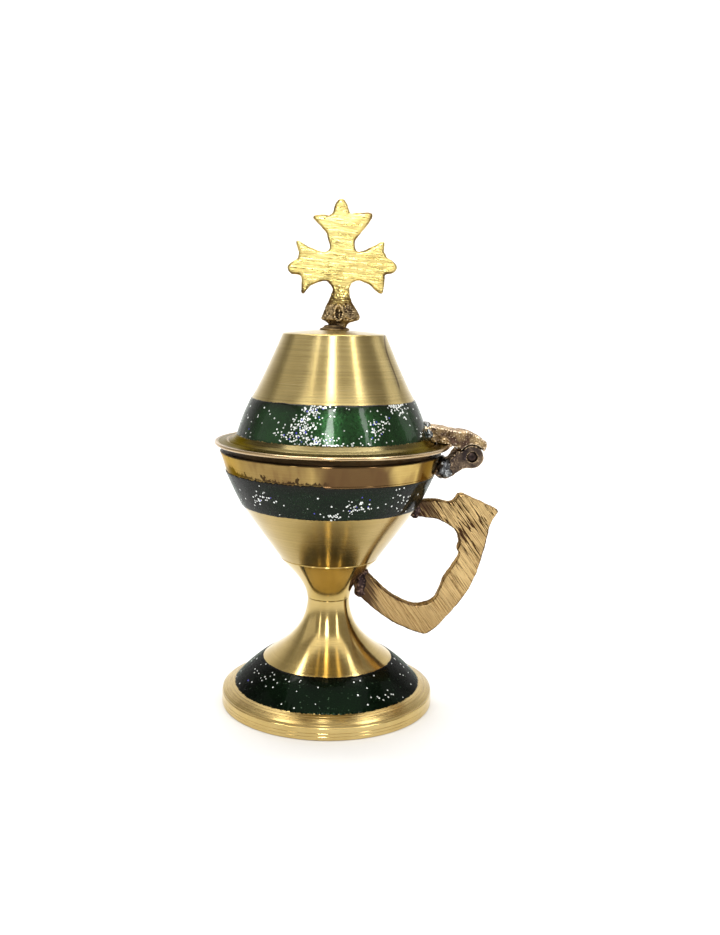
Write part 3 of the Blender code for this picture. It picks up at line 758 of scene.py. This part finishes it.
def bowl_outline():
    """The bowl: spigot, funnel, a turned line, cone, banded rim, mouth and the thin wall's inside."""
    line = [(13.3, FUNNEL_TOP_Z), (13.22, 40.72), (13.42, 40.9)]
    funnel = bezier((5.85, WAIST_Z), (6.2, 33.5), (10.2, 37.3), line[0], 24)
    cone = [(18.67, 48.2), (23.6, 55.2)]
    rim = [BOWL_BAND.low, BOWL_BAND.high, *groove((28.08, 64.72), (0.25, 1), 0.2, 0.08), (28.95, 67.7)]
    mouth = [(29.62, 69.55), (29.5, 69.85), (28.3, 69.9), (28.2, 71.0), (28.0, 71.2), (26.9, 71.2)]
    wall = [(26.6, 70.9), (26.6, 67.5), (26.1, 65.0), (22.2, 56.4), (11.9, 41.75), (9.2, 39.7)]
    floor = [(7.5, 39.0), (0.0, 39.0)]
    bore = [(0.0, 36.6), (2.6, 36.6)]
    spigot = [(2.6, WAIST_Z - 1.4), (3.6, WAIST_Z - 1.4), (3.6, WAIST_Z)]
    return rounded(bore + spigot + funnel + line + cone + rim + mouth + wall + floor, 0.16)


def lid_outline():
    """The lid: locating lip, rolled brim, dished ring, band, cone, flat top and the thin wall's inside."""
    lip = [(24.9, 69.8), (25.9, 69.8), (25.9, BRIM_Z)]
    brim = [(31.15, BRIM_Z), (BRIM_RADIUS, 71.8), (BRIM_RADIUS, 72.15), (31.25, 72.42), (30.4, 72.36)]
    dish = [(28.9, 72.52), (28.2, 72.72), (27.95, 72.62), (27.75, 72.42), (27.5, 72.68), (26.6, 73.15)]
    cone = [LID_BAND.low, *bezier(LID_BAND.high, (19.7, 87.0), (16.6, 94.0), (13.85, 100.3), 24)]
    shoulder = [(13.85, 100.3), (13.7, 100.75), (13.2, 101.02), (9.0, 101.5), (4.6, 101.85)]
    bore = [(2.05, LID_TOP_Z), (2.05, 100.5)]
    inside = [(5.5, 100.5), (11.7, 99.7), (12.3, 99.2), (18.1, 86.9), (20.1, 83.4), (24.0, 73.6)]
    return rounded(lip + brim + dish + cone + shoulder + bore + inside + [(24.6, 72.4)], 0.16)


def facing_out(place, normal):
    """Above 0 where a face looks away from the turned axis, and below 0 inside a shell."""
    return place.x * normal.x + place.y * normal.y


def make_foot():
    """The turned foot."""
    materials = ["trumpet_brass", "inside_brass", "foot_ring_brass", "foot_wall_brass"]

    def material_at(place, normal):
        if facing_out(place, normal) < 0 and place.z > 0.3 and normal.z < 0.2:
            return "inside_brass"
        # The wall's lighter brass is painted light.
        if place.z < FOOT_WALL_TOP_Z:
            return "foot_wall_brass"
        return "foot_ring_brass" if place.z < FOOT_BAND.low[1] else "trumpet_brass"

    bm = turned_mesh([foot_outline()] * SEGMENTS)
    make_piece("foot_turned", bm, "vessel", "foot", materials, material_at=material_at)


def make_bowl():
    """The turned bowl."""
    materials = ["lapped_brass", "polished_brass", "stained_brass", "sooty_brass"]
    band_middle_z = 60

    def material_at(place, normal):
        radius = hypot(place.x, place.y)
        inner_wall = facing_out(place, normal) < -0.05 * radius and place.z > 40
        inner_floor = normal.z > 0.7 and place.z < 42 and radius < 11
        # The inside is sooty. Above the mouth, under the lid's brim, the same dark brass is painted shade.
        if inner_wall or inner_floor or place.z > BOWL_MOUTH_Z:
            return "sooty_brass"
        if place.z < FUNNEL_TOP_Z + 0.2:
            return "polished_brass"
        return "lapped_brass" if place.z < band_middle_z else "stained_brass"

    bm = turned_mesh([bowl_outline()] * SEGMENTS)
    make_piece("bowl_turned", bm, "vessel", "bowl", materials, material_at=material_at)


def make_lid():
    """The turned lid."""
    materials = ["brushed_brass", "rolled_edge_brass", "inside_brass", "sooty_brass", "dish_brass"]

    def material_at(place, normal):
        inner_wall = facing_out(place, normal) < 0 and place.z < 101
        if inner_wall or (normal.z < -0.6 and place.z > 99):
            return "inside_brass"
        # Painted shade: the undersides and the lip below the brim are dark, for the gap over the bowl.
        if normal.z < -0.8 or place.z < BRIM_Z:
            return "sooty_brass"
        if hypot(place.x, place.y) > BRIM_RADIUS - 0.6:
            return "rolled_edge_brass"
        return "dish_brass" if place.z < LID_BAND.low[1] else "brushed_brass"

    bm = turned_mesh([lid_outline()] * SEGMENTS)
    make_piece("lid_turned", bm, "cover", "lid", materials, LID_X, material_at)


# Enamel and glitter


def wandering(seed, slow, quick):
    """A hand-laid edge: a function that says how far it strays at an angle, in millimetres."""

    def stray(angle):
        c, s = cos(angle), sin(angle)
        return slow * fractal(3 * c, 3 * s, seed) + quick * fractal(38 * c, 38 * s, seed + 7, 4)

    return stray


def bowl_top_edge(angle):
    """The bowl's enamel laps raggedly over the rim on the side away from the handle."""
    from_front = degrees(remainder(angle - FRONT, tau))
    if -130 < from_front < -3:
        return 0.45 + wandering(5.0, 0.08, 0.22)(angle)
    return wandering(5.0, 0.08, 0.04)(angle)


# The section of an enamel film: (share of the way up, share of its thickness), with rounded ends.
FILM_EDGE = [(0, -0.2), (0.004, 0.35), (0.02, 0.8), (0.06, 0.97)]
FILM_FRONT = FILM_EDGE + [(share, 1.0) for share in (0.15, 0.3, 0.45, 0.6, 0.75, 0.87)]
FILM_FRONT += [(1 - share, rise) for share, rise in reversed(FILM_EDGE)]
FILM_BACK = (0.97, 0.5, 0.03)
FILM_SUNK = 0.22


def make_enamel(name, band, node, material, low_edge, high_edge):
    """A ring of enamel. low_edge and high_edge say how far it passes the band's ends at an angle."""
    length = dist(band.low, band.high)
    rings = []
    for i in range(BAND_SEGMENTS):
        angle = tau * i / BAND_SEGMENTS
        start, end = -low_edge(angle) / length, 1 + high_edge(angle) / length
        rings.append([
            band_offset(band, start + (end - start) * share, rise * FILM_THICKNESS + bulge(band, share))
            for share, rise in FILM_FRONT
        ] + [band_offset(band, start + (end - start) * share, -FILM_SUNK) for share in FILM_BACK])
    make_piece(name, turned_mesh(rings), band.body, node, [material], band.x)


FLAKE_SIDES = 6


def flake(band, share, angle, size, tilt_deg, turn):
    """The corners of a glitter flake on a band's enamel: its lower face and its smaller upper one."""
    radius, z = band_offset(band, share, FILM_THICKNESS + 0.005 + bulge(band, share))
    (r0, z0), (r1, z1) = band.low, band.high
    up = Vector((r1 - r0, 0, z1 - z0)).normalized()
    out = Vector((up.z, 0, -up.x))
    tilt = Matrix.Rotation(radians(tilt_deg), 3, "X")
    spin = Matrix.Rotation(angle, 3, "Z")
    corners = []
    for lift, shrink in ((0.0, 1.0), (0.045, 0.86)):
        for k in range(FLAKE_SIDES):
            a = turn + tau * k / FLAKE_SIDES
            flat = tilt @ Vector((0, cos(a) * size * shrink, sin(a) * size * shrink))
            local = Vector((radius, 0, z)) + up * flat.z + Vector((0, flat.y, 0)) + out * (lift + flat.x)
            corners.append(tuple(spin @ local))
    return corners


def make_glitter(name, band, clusters, loose, seed):
    """Flakes of glitter on a band. A cluster is (angle from the front in degrees, share up the band,
    spread in degrees, spread in share, number of flakes), and loose flakes lie anywhere."""
    chance = random.Random(seed)
    blue_share = 0.05
    spots = []
    for angle, share, wide, tall, count in clusters:
        spots += [(chance.gauss(angle, wide), chance.gauss(share, tall)) for _ in range(count)]
    spots += [(chance.uniform(-180, 180), chance.uniform(0.05, 0.95)) for _ in range(loose)]
    verts, faces, kinds = [], [], []
    for angle_deg, share in spots:
        start = len(verts)
        size, tilt_deg = chance.uniform(0.15, 0.27), chance.uniform(-14, 14)
        angle = FRONT + radians(angle_deg)
        share = min(0.97, max(0.03, share))
        verts += flake(band, share, angle, size, tilt_deg, chance.uniform(0, tau))
        faces += [tuple(start + side * FLAKE_SIDES + k for k in range(FLAKE_SIDES)) for side in (0, 1)]
        faces += grid_faces(FLAKE_SIDES, 2, 1, FLAKE_SIDES, start=start)
        kinds += [1 if chance.random() < blue_share else 0] * (FLAKE_SIDES + 2)
    bm = raw_mesh(verts, faces)
    for face, kind in zip(bm.faces, kinds):
        face.material_index = kind
    bmesh.ops.recalc_face_normals(bm, faces=bm.faces)
    materials = ["silver_glitter", "blue_glitter"]
    make_piece(name, bm, band.body, None, materials, band.x).data.shade_flat()


def make_bands():
    """The three enamel bands and their glitter."""
    make_enamel("foot_enamel_film", FOOT_BAND, "foot_enamel", "green_enamel_foot",
                wandering(1.0, 0.16, 0.34), wandering(2.0, 0.08, 0.12))
    make_enamel("bowl_enamel_film", BOWL_BAND, "bowl_enamel", "green_enamel_dark",
                wandering(4.0, 0.1, 0.08), bowl_top_edge)
    make_enamel("lid_enamel_film", LID_BAND, "lid_enamel", "green_enamel_bright",
                wandering(8.0, 0.12, 0.2), wandering(9.0, 0.12, 0.08))
    make_glitter("foot_glitter", FOOT_BAND, [(-52, 0.6, 12, 0.2, 14), (48, 0.2, 7, 0.1, 8)], 90, 11)
    make_glitter("bowl_glitter", BOWL_BAND, [
        (-42, 0.5, 4, 0.13, 22), (2, 0.12, 2.2, 0.06, 22), (11, 0.33, 2.5, 0.08, 14),
        (18, 0.5, 2.5, 0.1, 22), (44, 0.45, 5, 0.18, 14), (150, 0.5, 12, 0.2, 40),
    ], 90, 12)
    make_glitter("lid_glitter", LID_BAND, [
        (-14, 0.72, 3.5, 0.14, 60), (-19, 0.42, 5, 0.1, 60), (-25, 0.26, 6, 0.09, 40),
        (-10, 0.14, 7, 0.07, 60), (2, 0.03, 8, 0.03, 30), (26, 0.4, 3.5, 0.12, 40),
        (33, 0.55, 4, 0.12, 14), (46, 0.92, 5, 0.06, 40), (50, 0.7, 3, 0.12, 14),
        (-5, 0.93, 6, 0.04, 18), (140, 0.5, 14, 0.2, 90), (-120, 0.4, 12, 0.2, 60),
    ], 120, 13)


# Handle


def handle_outline():
    """The handle from its upper end round the outside to its lower end, and back along the inside."""
    thumb_rest = [(22.4, 56.7), (28.3, 56.8), (32.4, 56.3), (33.6, 56.8), (34.7, 58.5), (36.2, 58.65)]
    corner = [(45.4, 54.5), (45.75, 53.9)]
    outside = smooth([
        (45.75, 53.9), (43.7, 50.2), (42.3, 43.5), (38.7, 32.6), (32.0, 23.5), (28.6, 20.2), (26.6, 19.2),
    ])
    underside = smooth([(26.6, 19.2), (23.6, 19.9), (18.3, 22.3), (13.6, 25.3), (9.6, 28.8), (7.4, 31.2)])
    lower_end = [(7.2, 31.4), (6.6, 34.4), (8.2, 37.6)]
    inside = smooth([
        (9.6, 37.0), (11.2, 35.7), (13.7, 33.0), (18.5, 29.4), (24.4, 27.3), (28.8, 28.9), (30.5, 32.2),
        (31.6, 35.0), (34.3, 39.3), (35.5, 42.1), (34.9, 43.2), (35.4, 45.6), (34.0, 48.8), (29.6, 51.5),
        (25.3, 52.1), (22.9, 52.5),
    ])
    return thumb_rest + corner + outside[1:] + underside + lower_end + inside + [(21.8, 52.6)]


def make_handle():
    """The handle, flat on both sides, with file strokes that run down its faces."""
    stroke_turn = radians(52)
    c, s = cos(stroke_turn), sin(stroke_turn)

    def surface(place, normal):
        flat = abs(normal.y)
        across, along = place.x * s + place.z * c, place.x * c - place.z * s
        strokes = fractal(across * 1.5, along * 0.13, place.y * 0.6 + 3)
        dents = lumps(place, 0.22, (0, 0, 9))
        edge = 0.13 * lumps(place, 1.1) + 0.14 * dents
        return flat * (0.085 * strokes + 0.1 * dents) + (1 - flat) * edge

    bar = cut_away(plate_mesh(handle_outline(), HANDLE_THICKNESS, 0.3), turned_cutter(BOWL_SIDE, 0.05))
    bar = displace(cast(bar, relax=5), surface)
    make_piece("handle_bar", bar, "vessel", "handle", ["filed_handle_brass"])


# Cross


def cross_outline():
    """The flared cross above its boss. Each arm ends in a round lobe between two pointed horns."""
    right_stem = smooth([(3.6, 106.0), (3.9, 109.5), (3.7, 112.6), (4.5, 114.3), (6.2, 114.9)])
    right_low_horn = smooth([(6.2, 114.9), (8.7, 113.9), (11.4, 111.8), (12.5, 111.6)])
    right_lobe = smooth([
        (12.9, 116.5), (14.8, 116.9), (15.9, 117.9), (15.9, 118.8), (15.0, 119.9), (13.0, 121.1),
    ])
    right_high_horn = smooth([
        (12.4, 122.4), (12.6, 124.6), (12.0, 124.9), (9.5, 123.6), (6.8, 122.4), (5.4, 122.3),
        (4.8, 124.3), (5.5, 125.9), (7.6, 128.5), (9.1, 130.7), (9.2, 131.9), (7.6, 132.2),
    ])
    top_lobe = smooth([
        (3.4, 131.9), (2.9, 133.6), (2.2, 135.0), (1.3, 135.5), (0.2, 135.1), (-0.6, 133.5), (-1.0, 131.7),
    ])
    top_left_horn = smooth([
        (-1.9, 131.2), (-3.8, 131.4), (-6.1, 130.8), (-4.2, 128.6), (-2.6, 126.8), (-2.2, 125.3),
        (-1.6, 123.3), (-2.2, 122.2), (-3.7, 121.95), (-7.1, 123.2), (-9.7, 124.6), (-10.4, 124.1),
        (-9.5, 121.4),
    ])
    left_lobe = smooth([
        (-9.9, 120.1), (-12.0, 118.8), (-12.6, 117.6), (-11.6, 116.2), (-9.3, 115.9), (-8.8, 114.3),
    ])
    left_low_horn = smooth([
        (-8.9, 111.4), (-8.2, 111.2), (-6.6, 113.2), (-3.9, 114.3), (-2.2, 114.4), (-0.8, 112.9),
    ])
    left_stem = smooth([(-0.4, 112.2), (-1.0, 110.0), (-1.1, 106.0)])
    right = right_stem + right_low_horn + [(12.7, 113.0)] + right_lobe + right_high_horn
    left = top_left_horn + left_lobe + left_low_horn + left_stem
    return right + top_lobe + left + [(-1.1, 106.0)]


# Sections of the boss under the cross: (z, left x, right x, half its depth).
BOSS_SECTIONS = (
    (113.0, -0.6, 3.7, 1.3), (110.6, -1.3, 3.9, 1.7), (109.4, -1.8, 4.3, 1.9), (108.1, -2.4, 5.1, 2.1),
    (107.0, -2.8, 5.9, 2.3), (106.0, -3.1, 6.45, 2.45), (105.2, -3.7, 6.6, 2.55), (104.6, -3.6, 6.4, 2.5),
    (104.25, -2.7, 5.4, 2.3), (103.8, -2.0, 3.8, 2.0), (103.2, -1.5, 3.3, 1.9), (102.6, -1.7, 3.1, 2.0),
)
STUD_TOP_Z = 102.4
BOSS_TOP_Z = 108.4
STEM_TOP_Z = 113.4


def oval_ring(centre, half_x, half_z, thickness, y):
    """A raised oval ring on the front of the boss."""
    verts = []
    around, across = 36, 10
    for i in range(around):
        a = tau * i / around
        for k in range(across):
            b = tau * k / across
            out = thickness * cos(b)
            verts.append((centre[0] + (half_x + out) * cos(a), y + thickness * sin(b),
                          centre[1] + (half_z + out) * sin(a)))
    return clean_mesh(verts, grid_faces(around, across, across, 1, True))


def cross_casting():
    """The cross, its boss with an oval recess in front, and the stud that goes down into the lid."""
    plate = plate_mesh(cross_outline(), CROSS_THICKNESS, 0.52)
    boss = loft_mesh([
        ((left + right) / 2, 0, z, (right - left) / 2, depth) for z, left, right, depth in BOSS_SECTIONS
    ])
    stud = loft_mesh([(0, 0, 96.4, 1.7, 1.7), (0, 0, 103.5, 1.7, 1.7)], power=2.0)
    ring = oval_ring((0.95, 106.4), 1.15, 2.0, 0.42, -2.25)
    hollow = ball_mesh((0.95, -2.75, 106.2), (0.85, 1.1, 1.7))
    rib = ball_mesh((1.1, -2.0, 106.0), (0.3, 0.75, 1.35))
    return joined(cut_away(cast(joined(plate, boss, stud, ring)), hollow), rib)


def make_cross():
    """The cross with its boss, and the collar it stands on."""

    def surface(place, normal):
        if place.z < STUD_TOP_Z:
            return 0.0
        if place.z < STEM_TOP_Z:
            pits = min(0.0, 0.1 + fractal(place.x * 1.2, place.y * 1.2, place.z * 2.6, 2))
            return 0.14 * lumps(place, 0.7) + 0.5 * pits
        flat = abs(normal.y)
        strokes = fractal(place.x * 0.16, place.y * 0.5, (place.z + 0.1 * place.x) * 1.9)
        face = 0.05 * strokes + 0.07 * lumps(place, 0.25, (0, 0, 5))
        return flat * face + (1 - flat) * 0.1 * lumps(place, 0.8)

    def material_at(place, normal):
        on_boss = place.z < BOSS_TOP_Z + 0.8 * fractal(place.x, 0, 3)
        return "cast_boss_brass" if on_boss else "filed_cross_brass"

    materials = ["filed_cross_brass", "cast_boss_brass"]
    bm = displace(cast(cross_casting(), relax=4), surface)
    make_piece("cross_casting", bm, "cover", "cross_finial", materials, LID_X, material_at)
    collar = [(2.0, 102.0), (3.9, 101.95), (3.95, 102.2), (3.0, 102.6), (2.6, 103.1), (2.0, 103.2)]
    bm = turned_mesh([rounded(collar, 0.15)] * COARSE_SEGMENTS)
    displace(bm, lambda place, normal: 0.05 * lumps(place, 1))
    make_piece("finial_collar_turned", bm, "cover", "finial_collar", materials[1:], LID_X)


# Hinge


def bracket_outline():
    """The lower hinge casting: an arm that leaves the bowl's rim and rises to the knuckle."""
    knuckle = arc(PIN, KNUCKLE_RADIUS, -105, 150, 40)
    top = smooth([(34.5, 70.4), (33.6, 70.7), (32.8, 69.6), (31.7, 68.3), (30.3, 67.8), (27.5, 67.9)])
    bottom = smooth([
        (27.4, 64.6), (28.2, 64.1), (29.2, 63.7), (30.5, 63.1), (32.2, 63.7), (33.9, 64.9), (35.4, 66.1),
    ])
    return knuckle + top + bottom


def lug_outline():
    """The upper hinge casting, on the lid: it bridges the brim and ends over the knuckle."""
    top = smooth([
        (41.6, 72.2), (41.1, 73.3), (38.6, 74.9), (36.5, 75.8), (33.5, 76.0), (28.3, 76.9), (23.0, 77.0),
    ])
    left = [(23.0, 71.6), (31.5, 71.6), (32.3, 72.1), (34.1, 71.5)]
    return top + left + arc(PIN, KNUCKLE_RADIUS + 0.35, 148, 24, 24)


def near_pin(place, reach):
    """Whether a place is within reach of the knuckle's surface, or inside it."""
    return dist((place.x, place.z), PIN) < KNUCKLE_RADIUS + reach


def make_bracket():
    """The lower hinge casting, with a slot between its two ears for the lug's tongue."""
    arm = plate_mesh(bracket_outline(), CLEVIS_WIDTH)
    root = ball_mesh((30.3, 0, 65.9), (2.5, 4.6, 2.7))
    slot = arc(PIN, KNUCKLE_RADIUS + 0.6, 125, 250, 10)
    slot += [(PIN[0] + 6, PIN[1] - 6), (PIN[0] + 6, PIN[1] + 6)]
    bore = rod_along_y(PIN, BORE_RADIUS, CLEVIS_WIDTH + 2)
    bowl = turned_cutter(BOWL_SIDE, 0.05)
    clevis = cut_away(cast(joined(arm, root)), plate_mesh(slot, SLOT_WIDTH), bore, bowl)

    def surface(place, normal):
        depth = 0.09 if near_pin(place, 0.5) else 0.2
        return depth * lumps(place, 0.7, (0, 0, 4), 3) + 0.05 * lumps(place, 1.8)

    clevis = displace(cast(clevis, voxel=0.13, relax=2), surface)
    make_piece("hinge_bracket_cast", clevis, "vessel", "hinge_bracket", ["cast_hinge_bronze"])


def make_lug():
    """The upper hinge casting, with the tongue that the pin goes through."""
    body = plate_mesh(lug_outline(), LUG_WIDTH)
    tongue = arc(PIN, KNUCKLE_RADIUS - 0.05, -180, 30, 24) + [(40.6, 73.0), (36.0, 74.0), (34.2, 72.0)]
    bore = rod_along_y(PIN, BORE_RADIUS, LUG_WIDTH + 2)
    lug = cut_away(cast(joined(body, plate_mesh(tongue, TONGUE_WIDTH))), bore, lid_cutter(0.08))

    def surface(place, normal):
        calm = 0.25 if near_pin(place, 0.6) else 1.0
        return calm * (0.2 * lumps(place, 0.55, (0, 0, 2), 3) + 0.1 * lumps(place, 2.0))

    lug = displace(cast(lug, voxel=0.14, relax=3), surface)
    make_piece("hinge_lug_cast", lug, "cover", "hinge_lug", ["cast_lug_bronze"])


def make_pin():
    """A plain rod, a little short of the ears' outer faces, with domed ends."""
    end = CLEVIS_WIDTH / 2 - 0.55
    side = [(0.0, end + 0.12), (0.5, end + 0.08), (1.0, end - 0.02), (1.25, end - 0.2), (1.3, end - 0.4)]
    bm = turned_mesh([side + [(r, -y) for r, y in reversed(side)]] * 64)
    for vert in bm.verts:
        vert.co = (vert.co.x + PIN[0], vert.co.z, PIN[1] - vert.co.y)
    # Its near-black material is painted shade, so its end shows as the dark hole in the knuckle.
    make_piece("hinge_pin_rod", bm, "vessel", "hinge_pin", ["pin_painted_hole_shade"])


def make_bead(node, body, slot, material, cutter, seed, *balls):
    """A lumpy bead of solder or braze, pressed against what it joins. A ball is (centre, size)."""
    bm = joined(*(ball_mesh(centre, size) for centre, size in balls))
    bm = cast(cut_away(cast(bm, relax=2), cutter), relax=1)
    displace(bm, lambda place, normal: 0.22 * lumps(place, 0.9, (0, seed, 0)))
    make_piece(node + "_bead", bm, body, node, [material])


def make_beads():
    """The braze on the handle's ends and the solder on the hinge castings."""
    gap = 0.03
    make_bead("handle_upper_braze", "vessel", "braze", "dark_braze", turned_cutter(BOWL_SIDE, gap), 23,
              ((23.5, 0, 54.4), (1.7, 2.3, 2.4)), ((23.1, -0.9, 53.0), (1.3, 1.4, 1.3)))
    make_bead("handle_lower_braze", "vessel", "braze", "dark_braze", turned_cutter(BOWL_SIDE, gap), 23,
              ((8.9, 0, 33.9), (1.9, 2.45, 4.1)), ((8.7, -0.6, 31.0), (1.7, 1.9, 1.7)),
              ((9.5, -0.5, 36.4), (1.3, 1.9, 1.5)))
    make_bead("bracket_solder", "vessel", "solder", "grey_solder", turned_cutter(BOWL_SIDE, gap), 19,
              ((29.7, -1.2, 66.0), (2.0, 3.9, 3.1)), ((29.6, 1.4, 65.6), (1.7, 3.6, 2.7)),
              ((30.3, -3.3, 67.1), (1.9, 1.8, 1.5)), ((30.9, -3.5, 64.9), (1.7, 1.6, 1.5)))
    make_bead("lug_solder", "cover", "solder", "grey_solder", lid_cutter(gap), 3,
              ((25.9, -3.4, 74.9), (1.3, 1.3, 2.0)), ((26.0, 3.4, 75.0), (1.3, 1.3, 2.1)),
              ((25.6, 0, 77.1), (1.0, 4.0, 0.9)))


def dress_fasteners():
    """The rod, nuts and washers inside keep their CAD shapes."""
    for node in ("tie_rod", "tie_washer", "tie_nut", "finial_washer", "finial_nut"):
        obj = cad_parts[node]
        obj.data.materials.clear()
        obj.data.materials.append(bpy.data.materials["fastener_brass"])


# Studio


def make_floor():
    """A pale sweep: a flat floor that curves up into a backdrop behind the vessel."""
    radius, front, back, height, half_width = 0.35, -1.6, 0.75, 2.2, 3.0
    profile = [(front, 0.0), *arc((back, radius), radius, -90, 0, 16), (back + radius, height)]
    rows = [(x, y, z) for x in (-half_width, half_width) for y, z in profile]
    count = len(profile)
    sweep = raw_mesh(rows, [(i, count + i, count + i + 1, i + 1) for i in range(count - 1)])
    floor = as_object("studio_sweep", sweep)
    floor.data.shade_smooth()
    floor.data.materials.append(bpy.data.materials["pale_paper"])


def add_light(name, place, target, size, power):
    """A soft box: a rectangular area light at place that faces target."""
    light = bpy.data.lights.new(name, "AREA")
    light.shape = "RECTANGLE"
    light.size, light.size_y = size
    light.energy = power
    obj = in_scene(name, light)
    obj.location = place
    obj.rotation_euler = (Vector(target) - Vector(place)).to_track_quat("-Z", "Y").to_euler()


def around(azimuth_deg, distance, height):
    """A place at an angle from the front of the turned axis, positive towards the handle."""
    turn = radians(azimuth_deg)
    return (AXIS_X * MM + distance * sin(turn), -distance * cos(turn), height)


def make_lights():
    """Strips in front for the highlights, boxes at the sides and above, and washes for the sweep."""
    middle = (AXIS_X * MM, 0, 0.07)
    add_light("key_strip", around(-4, 0.95, 0.66), middle, (0.15, 0.62), 5.5)
    add_light("left_strip", around(-38, 0.95, 0.5), middle, (0.06, 0.75), 0.7)
    add_light("right_strip", around(44, 0.95, 0.5), middle, (0.1, 0.75), 1.8)
    add_light("left_box", around(-80, 1.0, 0.5), middle, (0.8, 0.7), 0.75)
    add_light("right_box", around(110, 1.0, 0.55), middle, (0.4, 0.6), 0.6)
    add_light("top_box", (0.0, -0.3, 1.0), middle, (1.5, 0.7), 4.6)
    add_light("backdrop_wash", (0.0, 0.2, 1.2), (0, 1.0, 0.35), (1.2, 0.4), 18)
    add_light("floor_wash", (0.0, 0.55, 0.9), (0, 0.45, 0.0), (0.9, 0.4), 3.2)


def make_world():
    """The room: dim and warm in front of the vessel, pale behind it."""
    world = bpy.data.worlds.new("room")
    world.use_nodes = True
    _, depth, _ = split(add_node(world.node_tree, "TexCoord", output="Generated"))
    colour = ramp(remap(depth, -0.9, 0.9), (0.0, (0.4, 0.37, 0.315)), (0.45, (0.36, 0.335, 0.3)),
                  (0.72, (0.47, 0.45, 0.41)), (1.0, (0.42, 0.42, 0.41)))
    set_inputs(world.node_tree.nodes["Background"], {"Color": colour, "Strength": 1.0})
    bpy.context.scene.world = world
    bpy.context.scene.view_settings.view_transform = "Standard"


def make_camera():
    """The camera stands in front of the axis and looks slightly down and to the right."""
    distance, height = 0.2637, 0.1071
    down, right, roll = radians(9.02), radians(1.72), radians(1.28)
    forward = Vector((sin(right) * cos(down), cos(right) * cos(down), -sin(down)))
    level = Vector((cos(right), -sin(right), 0))
    below = forward.cross(level)
    x_axis = cos(roll) * level - sin(roll) * below
    y_axis = -(sin(roll) * level + cos(roll) * below)
    data = bpy.data.cameras.new("camera")
    data.lens = 38.08
    data.sensor_width = 36.0
    data.clip_start = 0.02
    camera = in_scene("camera", data)
    turn = Matrix((x_axis, y_axis, -forward)).transposed()
    camera.matrix_world = Matrix.Translation((AXIS_X * MM, -distance, height)) @ turn.to_4x4()
    bpy.context.scene.camera = camera


make_camera()
make_materials()
make_foot()
make_bowl()
make_lid()
make_bands()
make_handle()
make_cross()
make_bracket()
make_lug()
make_pin()
make_beads()
dress_fasteners()
make_floor()
make_lights()
make_world()
